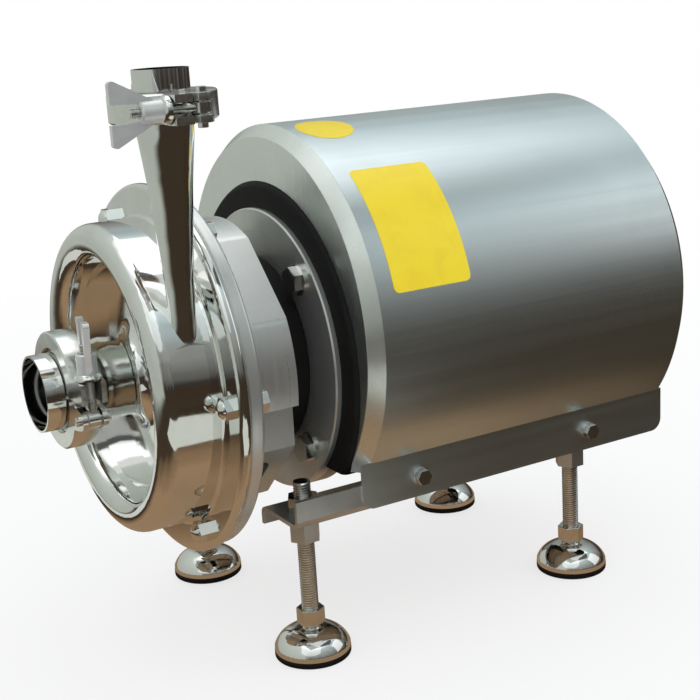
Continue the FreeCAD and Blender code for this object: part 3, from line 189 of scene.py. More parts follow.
# %% Group: turning rings
turning, start, end = new_group(
    "turning_rings", [("Pitch", NUMBER, 900.0), ("Depth", NUMBER, 0.1)],
    [("Mask", NUMBER), ("Normal", VECTOR)])
parts = add(turning, "ShaderNodeSeparateXYZ", {
    0: add(turning, "ShaderNodeTexCoord").outputs["Object"]})
square_y = add(turning, "ShaderNodeMath", {0: parts.outputs["Y"], 1: 2.0}, operation="POWER")
square_z = add(turning, "ShaderNodeMath", {0: parts.outputs["Z"], 1: 2.0}, operation="POWER")
total = add(turning, "ShaderNodeMath", {
    0: square_y.outputs[0], 1: square_z.outputs[0]}, operation="ADD")
reach = add(turning, "ShaderNodeMath", {0: total.outputs[0], 1: 0.5}, operation="POWER")
ring_place = add(turning, "ShaderNodeCombineXYZ", {"X": parts.outputs["X"], "Y": reach.outputs[0]})
rings = add(turning, "ShaderNodeTexNoise", {
    "Vector": ring_place.outputs[0], "Scale": start.outputs["Pitch"], "Detail": 4.0})
bend = add(turning, "ShaderNodeBump", {
    "Height": rings.outputs["Fac"], "Strength": start.outputs["Depth"], "Distance": 0.0004})
close_group(turning, end, Mask=rings.outputs["Fac"], Normal=bend.outputs["Normal"])

# %% [markdown]
# ## Grain and finger marks
# Rubber, castings and moulded plastic have a pebbled skin: a fine noise for both bump
# and colour. Handled metal has large faint smudges: a slow noise with a steep ramp.

# %% Groups: skin grain and smudges
grain, start, end = new_group(
    "skin_grain", [("Scale", NUMBER, 1500.0), ("Depth", NUMBER, 0.3)],
    [("Mask", NUMBER), ("Normal", VECTOR)])
pebbles = add(grain, "ShaderNodeTexNoise", {
    "Vector": add(grain, "ShaderNodeTexCoord").outputs["Object"],
    "Scale": start.outputs["Scale"], "Detail": 5.0, "Roughness": 0.6})
bend = add(grain, "ShaderNodeBump", {
    "Height": pebbles.outputs["Fac"], "Strength": start.outputs["Depth"], "Distance": 0.0005})
close_group(grain, end, Mask=pebbles.outputs["Fac"], Normal=bend.outputs["Normal"])

smudges, start, end = new_group(
    "smudges", [("Scale", NUMBER, 25.0)], [("Mask", NUMBER)])
patches = add(smudges, "ShaderNodeTexNoise", {
    "Vector": add(smudges, "ShaderNodeTexCoord").outputs["Object"],
    "Scale": start.outputs["Scale"], "Detail": 3.0, "Distortion": 0.6})
steep = add(smudges, "ShaderNodeMapRange", {
    "Value": patches.outputs["Fac"], "From Min": 0.42, "From Max": 0.68})
close_group(smudges, end, Mask=steep.outputs["Result"])

# %% [markdown]
# ## From finish to material
# One function turns a finish into a material. The finish's mask moves the roughness
# between two values, the smudges shade the colour from its clean tint to a duller one,
# and the finish's normal bends the light. The shader itself stays in the material.

# %% Helper: a material from a finish
def finish(name, tint, dull, gloss, group, metal=1.0, smudge=25.0, **values):
    """Make a material with the colours tint and dull and the roughness range gloss."""
    material = bpy.data.materials.new(name)
    material.use_nodes = True
    tree = material.node_tree
    shader = tree.nodes["Principled BSDF"]
    marks = add(tree, "ShaderNodeGroup", values, node_tree=group)
    spots = add(tree, "ShaderNodeGroup", {"Scale": smudge}, node_tree=smudges)
    both = add(tree, "ShaderNodeMath", {
        0: spots.outputs["Mask"], 1: marks.outputs["Mask"]}, operation="MULTIPLY")
    colour = add(tree, "ShaderNodeMix", {
        0: both.outputs[0], FIRST_COLOUR: (*tint, 1), SECOND_COLOUR: (*dull, 1)},
        data_type="RGBA")
    rough = add(tree, "ShaderNodeMapRange", {
        "Value": marks.outputs["Mask"], "From Min": 0.25, "From Max": 0.75,
        "To Min": gloss[0], "To Max": gloss[1]})
    tree.links.new(colour.outputs[MIXED_COLOUR], shader.inputs["Base Color"])
    tree.links.new(rough.outputs["Result"], shader.inputs["Roughness"])
    tree.links.new(marks.outputs["Normal"], shader.inputs["Normal"])
    shader.inputs["Metallic"].default_value = metal
    print("material", name, "with", len(tree.nodes), "nodes")
    return material


# %% [markdown]
# ## The finishes of this pump
# The casing is mirror polished, the clamps are polished castings with satin wing nuts,
# the sheet metal is brushed, the lantern is turned, and the fasteners are bright but
# less even. The motor inside is a rough casting.

# %% Make the finishes
mirror = finish("mirror_steel", (0.80, 0.81, 0.79), (0.70, 0.71, 0.69), (0.035, 0.10),
                polish, Scale=16.0, Depth=0.09)
clamp_steel = finish("polished_casting", (0.80, 0.81, 0.79), (0.66, 0.67, 0.65), (0.13, 0.28),
                     polish, smudge=70.0, Scale=45.0, Depth=0.12)
wing_steel = finish("satin_casting", (0.72, 0.73, 0.72), (0.58, 0.59, 0.58), (0.30, 0.42),
                    grain, metal=0.6, smudge=80.0, Scale=1400.0, Depth=0.12)
bright = finish("bright_steel", (0.74, 0.75, 0.73), (0.58, 0.58, 0.56), (0.10, 0.24),
                polish, smudge=90.0, Scale=60.0, Depth=0.12)
sheet = finish("brushed_sheet", (0.70, 0.77, 0.78), (0.60, 0.66, 0.67), (0.30, 0.44),
               brushing, smudge=9.0, Squeeze=(5.0, 700.0, 700.0), Depth=0.10)
plate = finish("brushed_plate", (0.80, 0.84, 0.82), (0.70, 0.74, 0.72), (0.24, 0.36),
               brushing, smudge=9.0, Squeeze=(700.0, 700.0, 6.0), Depth=0.08)
rail = finish("brushed_rail", (0.60, 0.61, 0.60), (0.46, 0.47, 0.46), (0.26, 0.42),
              brushing, metal=0.93, smudge=30.0, Squeeze=(8.0, 600.0, 600.0), Depth=0.12)
turned = finish("lathe_turned", (0.68, 0.69, 0.67), (0.52, 0.53, 0.51), (0.26, 0.42),
                turning, metal=0.85, smudge=20.0, Pitch=800.0, Depth=0.12)
drawn = finish("drawn_wire", (0.60, 0.60, 0.58), (0.42, 0.42, 0.40), (0.18, 0.32),
               polish, smudge=120.0, Scale=150.0, Depth=0.1)
cast = finish("cast_skin", (0.52, 0.53, 0.53), (0.36, 0.37, 0.37), (0.42, 0.62),
              grain, smudge=40.0, Scale=900.0, Depth=0.5)
laminated = finish("laminated_iron", (0.34, 0.33, 0.32), (0.22, 0.21, 0.20), (0.35, 0.55),
                   brushing, Squeeze=(2000.0, 20.0, 20.0), Depth=0.5)
rubber = finish("soft_rubber", (0.005, 0.005, 0.005), (0.011, 0.010, 0.009), (0.55, 0.8),
                grain, metal=0.0, Scale=1800.0, Depth=0.6)
rubber.node_tree.nodes["Principled BSDF"].inputs["Specular IOR Level"].default_value = 0.25
gasket = finish("pressed_gasket", (0.80, 0.80, 0.77), (0.68, 0.67, 0.63), (0.4, 0.6),
                grain, metal=0.0, Scale=900.0, Depth=0.15)
carbon = finish("lapped_face", (0.05, 0.05, 0.055), (0.09, 0.09, 0.09), (0.18, 0.32),
                turning, metal=0.0, Pitch=1500.0, Depth=0.05)
plastic = finish("moulded_plastic", (0.03, 0.03, 0.032), (0.06, 0.06, 0.06), (0.35, 0.5),
                 grain, metal=0.0, Scale=1200.0, Depth=0.25)
vinyl = finish("yellow_vinyl", (0.93, 0.72, 0.015), (0.86, 0.63, 0.01), (0.28, 0.42),
               grain, metal=0.0, smudge=60.0, Scale=500.0, Depth=0.08)

# %% [markdown]
# ## Smooth where it curves, sharp where it folds
# A CAD solid arrives as loose triangles. Its points stay where they are, but modifiers
# may tidy what is drawn: Weld joins the triangles, Decimate joins those that lie flat
# together, Bevel rounds the edges so that they catch the light, and a small geometry
# node group shades smooth every edge that folds less than a chosen angle. Weighted
# normals then keep the flat faces flat.

# %% A modifier that smooths below an angle
smooth_tree = bpy.data.node_groups.new("smooth_below_angle", "GeometryNodeTree")
smooth_tree.interface.new_socket("Geometry", in_out="INPUT", socket_type="NodeSocketGeometry")
smooth_tree.interface.new_socket("Geometry", in_out="OUTPUT", socket_type="NodeSocketGeometry")
fold_socket = smooth_tree.interface.new_socket("Fold", in_out="INPUT", socket_type=NUMBER)
shape_in = add(smooth_tree, "NodeGroupInput")
all_smooth = add(smooth_tree, "GeometryNodeSetShadeSmooth", {
    "Geometry": shape_in.outputs["Geometry"], "Shade Smooth": True}, domain="FACE")
fold = add(smooth_tree, "GeometryNodeInputMeshEdgeAngle")
sharp = add(smooth_tree, "FunctionNodeCompare", {
    0: fold.outputs["Unsigned Angle"], 1: shape_in.outputs["Fold"]},
    data_type="FLOAT", operation="GREATER_THAN")
folded = add(smooth_tree, "GeometryNodeSetShadeSmooth", {
    "Geometry": all_smooth.outputs["Geometry"], "Selection": sharp.outputs["Result"],
    "Shade Smooth": False}, domain="EDGE")
shape_out = add(smooth_tree, "NodeGroupOutput")
smooth_tree.links.new(folded.outputs["Geometry"], shape_out.inputs["Geometry"])


def shade(piece, fold_angle=30):
    """Shade a piece smooth except across folds of more than fold_angle degrees."""
    modifier = piece.modifiers.new("smooth", "NODES")
    modifier.node_group = smooth_tree
    modifier[fold_socket.identifier] = math.radians(fold_angle)
    weighted = piece.modifiers.new("weighted normals", "WEIGHTED_NORMAL")
    weighted.keep_sharp = True


# %% A helper that dresses a solid
weld_reach = 0.000002                  # metres
flat_enough = math.radians(0.8)        # faces that fold less than this are joined
sharp_enough = math.radians(32)        # edges that fold more than this are rounded


def dress(names, material, edge=0.0, fold_angle=30):
    """Give CAD nodes a material, and round their edges by edge millimetres."""
    for name in names:
        solid = nodes[name]
        if not solid.material_slots:
            solid.data.materials.append(material)
        for slot in solid.material_slots:
            slot.material = material
        if "custom_normal" in solid.data.attributes:
            solid.data.attributes.remove(solid.data.attributes["custom_normal"])
        weld = solid.modifiers.new("weld", "WELD")
        weld.merge_threshold = weld_reach
        if edge:
            flats = solid.modifiers.new("join flats", "DECIMATE")
            flats.decimate_type = "DISSOLVE"
            flats.angle_limit = flat_enough
            bevel = solid.modifiers.new("bevel", "BEVEL")
            bevel.width = edge / 1000
            bevel.segments = 2
            bevel.limit_method = "ANGLE"
            bevel.angle_limit = sharp_enough
        shade(solid, fold_angle)
    print("dressed", len(names), "solids in", material.name)


# %% [markdown]
# ## Dress the solids
# Each node gets a finish that suits its slot and the way it is made. Small machined
# parts get a rounded edge of a few tenths of a millimetre, as a deburred part has; big
# turned shapes only need smooth shading, because their curves are already in the solid.

# %% The pump end
dress(["pump_casing", "suction_ferrule", "discharge_ferrule"], mirror)
dress(["suction_clamp_lower", "suction_clamp_upper", "discharge_clamp_rear",
       "discharge_clamp_front"], clamp_steel, edge=0.5)
dress(["suction_wing_nut", "discharge_wing_nut"], wing_steel, edge=0.7)
dress(["suction_washer", "discharge_washer"], mirror)
dress(["dome_nuts"], mirror)
dress(["casing_bolts", "clamp_pins"], bright, edge=0.3)
dress(["adapter", "back_plate"], turned)
dress(["casing_gasket", "suction_gasket", "discharge_gasket"], gasket)
dress(["pump_shaft", "impeller", "impeller_nut", "motor_shaft"], turned)
dress(["seal_seat", "seal_ring"], carbon)
dress(["seal_spring"], drawn)
dress(["splash_ring", "shroud_seal"], rubber)

# %% The motor end
dress(["shroud_barrel"], sheet, edge=0.4)
dress(["shroud_front_plate", "shroud_rear_plate"], plate, edge=0.3)
dress(["near_rail", "far_rail"], rail, edge=0.5)
dress(["flange_bolts", "shroud_bolts", "shroud_washers", "motor_foot_bolts",
       "foot_lock_nuts"], bright, edge=0.3)
dress(["motor_flange", "motor_frame", "motor_rear_shield", "terminal_box"], cast)
dress(["motor_bearings"], turned)
dress(["rotor_core"], laminated)
dress(["cooling_fan", "cable_gland"], plastic)
corners = ["front_near", "front_far", "rear_near", "rear_far"]
dress([f"foot_{corner}_bell" for corner in corners], mirror)
dress([f"foot_{corner}_pad" for corner in corners], rubber)

# %% [markdown]
# ## New pieces
# A new piece is made in millimetres with bmesh, because the drawing is in millimetres,
# then scaled to metres. It rides on the body that carries it and may stand for a CAD
# node, which is then hidden.

# %% Helper: a finished object from a bmesh
def make_piece(name, mesh, body, material, stands_for=(), fold_angle=30):
    """Turn a bmesh in millimetres into a piece that rides on a body."""
    bmesh.ops.scale(mesh, vec=(0.001, 0.001, 0.001), verts=mesh.verts)
    piece = object_from(name, mesh)
    piece.data.materials.append(material)
    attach(piece, body)
    if stands_for:
        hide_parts(*stands_for)
    shade(piece, fold_angle)
    print("piece", name, "with", len(piece.data.polygons), "faces")


# %% [markdown]
# ## Screw threads
# A thread is one tooth that climbs as it goes round. The tooth's outline lists how far
# each point lies below the crest, as a share of the depth, and how high, as a share of
# the pitch. Its crest is rounded, because that is what glints. The outline covers one
# whole pitch, so when it is spun with a small rise at each step, every turn joins the
# one below. The two ragged ends are cut flat and closed.

# %% Helper: a threaded rod along Z
tooth = [(1.0, 0.0), (1.0, 0.12), (0.06, 0.44), (0.0, 0.50), (0.0, 0.56), (0.04, 0.62),
         (0.14, 0.69), (1.0, 1.0)]
tooth_depth = 0.61                     # as a share of the pitch


def thread(mesh, radius, pitch, low, high, steps=20):
    """Add a threaded rod between the heights low and high."""
    depth = tooth_depth * pitch
    turns = math.ceil((high - low) / pitch) + 2
    bottom = low - pitch
    points = [mesh.verts.new((radius - inset * depth, 0, bottom + rise * pitch))
              for inset, rise in tooth]
    edges = [mesh.edges.new(pair) for pair in zip(points, points[1:])]
    bmesh.ops.spin(
        mesh, geom=points + edges, cent=(0, 0, 0), axis=(0, 0, 1), angle=2 * math.pi * turns,
        dvec=(0, 0, pitch / steps), steps=steps * turns, use_merge=False)
    bmesh.ops.remove_doubles(mesh, verts=mesh.verts[:], dist=0.001)
    for height, normal in ((low, (0, 0, -1)), (high, (0, 0, 1))):
        bmesh.ops.bisect_plane(
            mesh, geom=mesh.verts[:] + mesh.edges[:] + mesh.faces[:], plane_co=(0, 0, height),
            plane_no=normal, clear_outer=True, dist=0.0001)
    bmesh.ops.holes_fill(mesh, edges=[edge for edge in mesh.edges if edge.is_boundary], sides=0)
    bmesh.ops.recalc_face_normals(mesh, faces=mesh.faces[:])


def join_in(mesh, other):
    """Copy another bmesh into this one and free it."""
    data = bpy.data.meshes.new("part")
    other.to_mesh(data)
    other.free()
    mesh.from_mesh(data)
    bpy.data.meshes.remove(data)


def spun_solid(outline, steps=48):
    """A closed solid of revolution about Z from an outline that starts and ends on it."""
    mesh = bmesh.new()
    points = [mesh.verts.new((reach, 0, height)) for reach, height in outline]
    edges = [mesh.edges.new(pair) for pair in zip(points, points[1:])]
    bmesh.ops.spin(mesh, geom=points + edges, cent=(0, 0, 0), axis=(0, 0, 1),
                   angle=2 * math.pi, steps=steps, use_merge=True)
    bmesh.ops.remove_doubles(mesh, verts=mesh.verts, dist=0.0005)
    bmesh.ops.recalc_face_normals(mesh, faces=mesh.faces)
    return mesh


# %% [markdown]
# ## The four threaded stems
# Each foot screws up or down on a threaded stem with a hexagon near its lower end, for
# a spanner, and a ball that sits in the bell. The hexagon is a cylinder with six sides
# and rounded edges. The neck and the ball are one outline, spun.

# %% Make the stems
rail_top = -90.0
stem_top, stem_radius, stem_pitch = rail_top + 20, 5.95, 1.75
hex_top, hex_low, hex_flats, hex_edge = rail_top - 70.6, rail_top - 82.0, 17.0, 0.7
stem_sunk, stem_short = 2, 0.2         # into the hexagon, and off the upper end
neck, neck_top = 5.0, hex_low + 1
ball_height, ball, ball_steps = rail_top - 91, 8.5, 14
foot_x = {"front": 145.6, "rear": 373.8}
foot_y = {"near": -84.5, "far": 84.5}


def ball_stem():
    """One stem about the Z axis, at its own height."""
    mesh = bmesh.new()
    thread(mesh, stem_radius, stem_pitch, hex_top - stem_sunk, stem_top - stem_short)
    hexagon = bmesh.new()
    corner_reach = hex_flats / math.sqrt(3)
    bmesh.ops.create_cone(
        hexagon, cap_ends=True, segments=6, radius1=corner_reach, radius2=corner_reach,
        depth=hex_top - hex_low)
    bmesh.ops.translate(hexagon, verts=hexagon.verts, vec=(0, 0, (hex_top + hex_low) / 2))
    bmesh.ops.bevel(hexagon, geom=hexagon.edges[:], offset=hex_edge, affect="EDGES", segments=3,
                    profile=0.5, material=-1)
    join_in(mesh, hexagon)
    first = math.asin(neck / ball)
    outline = [(0, neck_top), (neck, neck_top)]
    for step in range(ball_steps):
        angle = first + (math.pi - first) * step / ball_steps
        outline.append((ball * math.sin(angle), ball_height + ball * math.cos(angle)))
    outline.append((0, ball_height - ball))
    join_in(mesh, spun_solid(outline))
    return mesh


for end_name, along in foot_x.items():
    for hand_name, across in foot_y.items():
        corner = f"{end_name}_{hand_name}"
        mesh = ball_stem()
        bmesh.ops.translate(mesh, verts=mesh.verts, vec=(along, across, 0))
        make_piece(f"threaded_stem_{corner}", mesh, f"{corner}_stem", bright,
                   [f"foot_{corner}_stem"], fold_angle=25)

# %% [markdown]
# ## The swing bolts of the clamps
# An eye bolt turns about the clamp's pin and carries the wing nut. It is made upright
# with its eye at the origin, then moved onto its pin. The upper one is first laid down.

# %% Make the two swing bolts
eye_hole, eye_radius, eye_edge = 3.05, 5.5, 0.4
shank_low, shank_top, thread_low = 4.4, 13, 12
# How far the crest, the tip and the bare shank lie within the CAD's plain rod, and how
# much wider than the rod's radius half the eye is.
crest_in, tip_in, shank_in, eye_out = 0.03, 0.1, 0.35, 0.15


def swing_bolt(radius, pitch, length):
    """An eye bolt along Z with its pin hole along X."""
    mesh = bmesh.new()
    thread(mesh, radius - crest_in, pitch, thread_low, length - tip_in, steps=18)
    shank = radius - shank_in
    join_in(mesh, spun_solid([(0, shank_low), (shank, shank_low), (shank, shank_top),
                              (0, shank_top)]))
    eye = bmesh.new()
    half = radius + eye_out
    outline = [(-half, eye_hole), (half, eye_hole), (half, eye_radius - eye_edge),
               (half - eye_edge, eye_radius), (eye_edge - half, eye_radius),
               (-half, eye_radius - eye_edge)]
    points = [eye.verts.new((along, 0, reach)) for along, reach in outline]
    edges = [eye.edges.new(pair) for pair in zip(points, points[1:] + points[:1])]
    bmesh.ops.spin(eye, geom=points + edges, cent=(0, 0, 0), axis=(1, 0, 0),
                   angle=2 * math.pi, steps=40, use_merge=True)
    bmesh.ops.remove_doubles(eye, verts=eye.verts, dist=0.0005)
    bmesh.ops.recalc_face_normals(eye, faces=eye.faces)
    join_in(mesh, eye)
    return mesh


suction_pin, discharge_pin = (21.5, -45.5, -10), (77, -127.75, 182)
mesh = swing_bolt(radius=4.0, pitch=1.25, length=49)
bmesh.ops.translate(mesh, verts=mesh.verts, vec=suction_pin)
make_piece("suction_threaded_bolt", mesh, "suction_bolt", bright,
           ["suction_swing_bolt"], fold_angle=25)

mesh = swing_bolt(radius=3.0, pitch=1.0, length=44)
lying = Matrix.Rotation(math.radians(-90), 3, "Y")
bmesh.ops.rotate(mesh, verts=mesh.verts, cent=(0, 0, 0), matrix=lying)
bmesh.ops.translate(mesh, verts=mesh.verts, vec=discharge_pin)
make_piece("discharge_threaded_bolt", mesh, "discharge_bolt", bright,
           ["discharge_swing_bolt"], fold_angle=25)

# %% [markdown]
# ## The stickers
# Two plain yellow stickers lie on the shroud, a rectangle with round corners and a disc.
# A flat sheet is cut into strips and each point is then rolled onto the cylinder, so
# that the sticker follows the steel.

# %% Roll flat stickers onto the barrel
barrel_radius, barrel_height = 137.0, 19.5
vinyl_thickness, glue = 0.12, 0.02
strip, widest = 3, 60
sticker_length, sticker_width, sticker_round, disc_radius = 59, 90, 4, 20


def roll_on(mesh, middle_x, middle_angle):
    """Cut a flat sheet (X by Y) into strips and roll it onto the barrel."""
    for line in range(-widest, widest + 1, strip):
        bmesh.ops.bisect_plane(
            mesh, geom=mesh.verts[:] + mesh.edges[:] + mesh.faces[:], plane_co=(0, line, 0),
            plane_no=(0, 1, 0), dist=0.0001)
    bmesh.ops.solidify(mesh, geom=mesh.faces[:], thickness=vinyl_thickness)
    high = max(vert.co.z for vert in mesh.verts)
    for vert in mesh.verts:
        angle = math.radians(middle_angle) + vert.co.y / barrel_radius
        reach = barrel_radius + glue + vinyl_thickness - (high - vert.co.z)
        vert.co = (middle_x + vert.co.x, -reach * math.cos(angle),
                   barrel_height + reach * math.sin(angle))
    bmesh.ops.recalc_face_normals(mesh, faces=mesh.faces)


mesh = bmesh.new()
bmesh.ops.create_grid(mesh, x_segments=1, y_segments=1, size=0.5)
bmesh.ops.scale(mesh, vec=(sticker_length, sticker_width, 1), verts=mesh.verts)
bmesh.ops.bevel(mesh, geom=mesh.verts[:], offset=sticker_round, affect="VERTICES", segments=6,
                profile=0.5, material=-1)
roll_on(mesh, middle_x=225.5, middle_angle=34.2)
make_piece("plain_sticker", mesh, "housing", vinyl)

mesh = bmesh.new()
bmesh.ops.create_circle(mesh, cap_ends=True, segments=64, radius=disc_radius)
roll_on(mesh, middle_x=210, middle_angle=77)
make_piece("round_sticker", mesh, "housing", vinyl)

# %% [markdown]
# ## The studio floor
# The pump stands on a pale floor that runs far behind it. Near the pump the floor is
# partly a dull surface, so that it takes the pump's shadow. With distance it fades into
# the white of the background, so that no horizon shows.

# %% Lay the floor
def seen_rays(tree):
    """A socket that is 1 for the rays that see things and 0 for those that light them."""
    ray = add(tree, "ShaderNodeLightPath")
    seen = add(tree, "ShaderNodeMath", {
        0: ray.outputs["Is Camera Ray"], 1: ray.outputs["Is Glossy Ray"]}, operation="MAXIMUM")
    seen_too = add(tree, "ShaderNodeMath", {
        0: seen.outputs[0], 1: ray.outputs["Is Transmission Ray"]}, operation="MAXIMUM")
    return seen_too.outputs[0]


low = cad_box[0][2]
floor_size, floor_gap = 30, 0.0002
mesh = bmesh.new()
bmesh.ops.create_grid(mesh, x_segments=1, y_segments=1, size=floor_size)
bmesh.ops.translate(mesh, verts=mesh.verts, vec=(0, 0, low - floor_gap))
floor = object_from("floor", mesh)
floor_material = bpy.data.materials.new("pale_floor")
floor_material.use_nodes = True
floor_tree = floor_material.node_tree
floor_shader = floor_tree.nodes["Principled BSDF"]
floor_shader.inputs["Base Color"].default_value = (0.97, 0.97, 0.97, 1)
floor_shader.inputs["Roughness"].default_value = 0.9
floor_shader.inputs["Specular IOR Level"].default_value = 0.0
floor_reach = add(floor_tree, "ShaderNodeVectorMath", {
    0: add(floor_tree, "ShaderNodeTexCoord").outputs["Object"]}, operation="LENGTH")
fading = add(floor_tree, "ShaderNodeMapRange", {
    "Value": floor_reach.outputs["Value"], "From Min": 0.35, "From Max": 1.6,
    "To Min": 0.72, "To Max": 1.0}, interpolation_type="SMOOTHSTEP")
paleness = add(floor_tree, "ShaderNodeMath", {
    0: seen_rays(floor_tree), 1: fading.outputs["Result"]}, operation="MULTIPLY")
pale = add(floor_tree, "ShaderNodeEmission", {"Color": (1, 1, 1, 1), "Strength": 1.0})
blend = add(floor_tree, "ShaderNodeMixShader", {
    0: paleness.outputs[0], 1: floor_shader.outputs["BSDF"], 2: pale.outputs[0]})
floor_tree.links.new(blend.outputs[0],
                     floor_tree.nodes["Material Output"].inputs["Surface"])
floor.data.materials.append(floor_material)
print("floor at", round(low, 4))

# %% [markdown]
# ## The sky of the studio
# The world is white for the camera and for reflections, and a little dimmer where it
# lights dull surfaces, so that nothing is washed out.

# %% Set the world
world = bpy.data.worlds.new("studio")
bpy.context.scene.world = world
world.use_nodes = True
sky = world.node_tree
sky.nodes.clear()
dim = add(sky, "ShaderNodeBackground", {"Color": (0.95, 0.97, 1.0, 1), "Strength": 0.75})
white = add(sky, "ShaderNodeBackground", {"Color": (1, 1, 1, 1), "Strength": 1.0})
either = add(sky, "ShaderNodeMixShader", {
    0: seen_rays(sky), 1: dim.outputs[0], 2: white.outputs[0]})
add(sky, "ShaderNodeOutputWorld", {"Surface": either.outputs[0]})

# %% [markdown]
# ## Lamps
# Large lamps give soft light. The strongest hangs above, the key lamp stands high behind
# the camera, and a weak one fills in from the right.

# %% Hang three soft lamps
middle = (0.22, 0, 0)


def soft_lamp(name, place, size, power, colour=(1, 1, 1)):
    """Add a square lamp that faces the middle of the pump."""
    data = bpy.data.lights.new(name, "AREA")
    data.size = size
    data.energy = power
    data.color = colour
    lamp = bpy.data.objects.new(name, data)
    look = (Vector(middle) - Vector(place)).to_track_quat("-Z", "Y")
    lamp.matrix_world = Matrix.Translation(place) @ look.to_matrix().to_4x4()
    bpy.context.scene.collection.objects.link(lamp)
    print("lamp", name, "of", power, "watts")


soft_lamp("key", (-0.9, -1.5, 1.7), 2.4, 7)
soft_lamp("above", (0.5, 0.2, 2.2), 2.4, 12, (0.94, 0.98, 1))
soft_lamp("fill", (1.9, -0.9, 0.9), 1.2, 3)

# %% [markdown]
# ## A room to reflect
# Polished steel shows its surroundings, and in an all white studio it turns into paper.
# Photographers stand cards round the object, out of the picture. These cards are not lit:
# they glow with their own colour, so every card is a painted reflection. A ring of card
# stands for walls and grows paler with height, a painted light from above. A mat on the
# floor is brown like wood, brown close round the pump and dark further out, painted light
# and shade. A few boards paint darker or paler reflections. The walls and the mat are also
# paler towards one side, a painted bright reflection. Only reflections see them: the camera,
# the dull surfaces and the shadows don't. A card's colour follows its height through a list
# of stops, and a slow noise moves the stops up and down so that their borders wander.

# %% Helper: a card that glows with a colour ramp
def card(name, mesh, heights, stops, pale_reflection_side=0.0):
    """Add a glowing card that only reflections see, a painted reflection coloured by its height
    and paler on one side.
    """
    piece = object_from(name, mesh)
    material = bpy.data.materials.new(name)
    material.use_nodes = True
    tree = material.node_tree
    tree.nodes.clear()
    place = add(tree, "ShaderNodeTexCoord").outputs["Object"]
    parts = add(tree, "ShaderNodeSeparateXYZ", {0: place})
    patch = add(tree, "ShaderNodeTexNoise", {"Vector": place, "Scale": 2.0, "Detail": 4.0})
    shift = add(tree, "ShaderNodeMapRange", {
        "Value": patch.outputs["Fac"], "To Min": -0.12, "To Max": 0.12})
    high = add(tree, "ShaderNodeMapRange", {
        "Value": parts.outputs["Z"], "From Min": heights[0], "From Max": heights[1]})
    mixed = add(tree, "ShaderNodeMath", {
        0: high.outputs["Result"], 1: shift.outputs["Result"]}, operation="ADD")
    ramp = add(tree, "ShaderNodeValToRGB", {0: mixed.outputs[0]})
    ramp_stops = ramp.color_ramp.elements
    for number, (spot, colour) in enumerate(stops):
        stop = ramp_stops[number] if number < 2 else ramp_stops.new(spot)
        stop.position = spot
        stop.color = (*colour, 1)
    towards = add(tree, "ShaderNodeVectorMath", {0: place, 1: (-0.87, 0.5, 0)},
                  operation="DOT_PRODUCT")
    # Painted bright reflection: the card turns paler towards one side.
    side = add(tree, "ShaderNodeMapRange", {
        "Value": towards.outputs["Value"], "From Min": 0.35, "From Max": 0.9,
        "To Max": pale_reflection_side}, interpolation_type="SMOOTHSTEP")
    colour = add(tree, "ShaderNodeMix", {
        0: side.outputs["Result"], FIRST_COLOUR: ramp.outputs["Color"],
        SECOND_COLOUR: (0.62, 0.66, 0.60, 1)}, data_type="RGBA")
    # The card glows with its colour instead of being lit: a painted reflection.
    glow = add(tree, "ShaderNodeEmission", {
        "Color": colour.outputs[MIXED_COLOUR], "Strength": 1.0})
    add(tree, "ShaderNodeOutputMaterial", {"Surface": glow.outputs[0]})
    piece.data.materials.append(material)
    piece.visible_camera = False
    piece.visible_diffuse = False
    piece.visible_shadow = False
    piece.visible_transmission = False
    print("card", name, "with", len(stops), "stops")


# %% Stand the round cards out of the picture
wall_radius, wall_height = 2.4, 3.6
mesh = bmesh.new()
bmesh.ops.create_cone(mesh, cap_ends=False, segments=96, radius1=wall_radius,
                      radius2=wall_radius, depth=wall_height)
bmesh.ops.translate(mesh, verts=mesh.verts, vec=(0.2, 0, low + wall_height / 2))
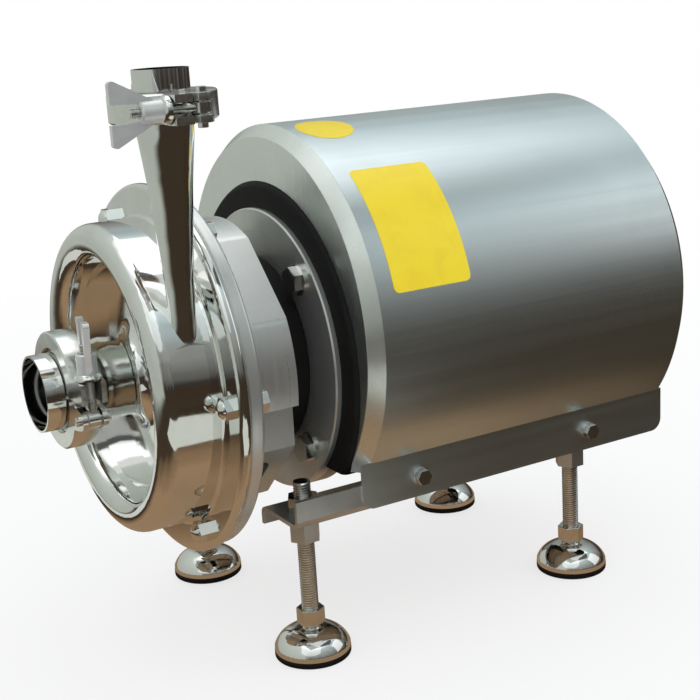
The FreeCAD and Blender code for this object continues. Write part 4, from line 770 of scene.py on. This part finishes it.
# Painted light from above: the walls grow from dark brown at the floor to a pale sky colour at the
# top.
card("walls", mesh, (low, low + wall_height), [
    (0.0, (0.05, 0.032, 0.02)), (1.0, (0.92, 1.0, 1.0)), (0.06, (0.045, 0.035, 0.03)),
    (0.14, (0.16, 0.16, 0.152)), (0.32, (0.31, 0.315, 0.30)), (0.46, (0.38, 0.43, 0.43)),
    (0.70, (0.50, 0.59, 0.61))], pale_reflection_side=0.75)
mesh = bmesh.new()
bmesh.ops.create_cone(mesh, cap_ends=True, segments=96, radius1=wall_radius, radius2=0.02,
                      depth=0.002)
bmesh.ops.translate(mesh, verts=mesh.verts, vec=(0.2, 0, low + 0.002))
# Painted reflection of a wooden floor: brown close round the pump and dark further out, painted
# light and shade.
card("reflected_floor_glow", mesh, (low + 0.001, low + 0.003), [
    (0.0, (0.05, 0.034, 0.02)), (1.0, (0.30, 0.21, 0.13)), (0.70, (0.05, 0.036, 0.024)),
    (0.86, (0.06, 0.04, 0.025)), (0.93, (0.36, 0.23, 0.13))], pale_reflection_side=0.75)

# %% Lay the flat cards
def board(name, size, centre, heights, stops):
    """Add a flat rectangular glowing card, a painted reflection, size in X and Y, about its
    centre.
    """
    mesh = bmesh.new()
    bmesh.ops.create_grid(mesh, x_segments=1, y_segments=1, size=0.5)
    bmesh.ops.scale(mesh, vec=(*size, 1), verts=mesh.verts)
    bmesh.ops.translate(mesh, verts=mesh.verts, vec=centre)
    card(name, mesh, heights, stops)


# Painted dark reflections from a dark ceiling and a dark board on the floor, and painted pale
# reflections from two pale sheets beside the pump.
board("dark_ceiling_reflection", (3.4, 1.5), (0.6, -0.95, 2.6), (2.5, 2.7), [
    (0.0, (0.07, 0.07, 0.065)), (1.0, (0.14, 0.145, 0.14))])
board("dark_floor_reflection", (1.1, 0.62), (0.82, -0.51, low + 0.006), (low, low + 0.02), [
    (0.0, (0.05, 0.036, 0.022)), (1.0, (0.03, 0.021, 0.013))])
for number, hand in enumerate((-1, 1)):
    board(f"pale_sheet_reflection_{number}", (0.52, 0.30), (0.02, hand * 0.43, low + 0.006),
          (low, low + 0.02), [(0.0, (0.66, 0.68, 0.62)), (1.0, (0.72, 0.74, 0.70))])

# %% Colours as written
bpy.context.scene.view_settings.view_transform = "Standard"
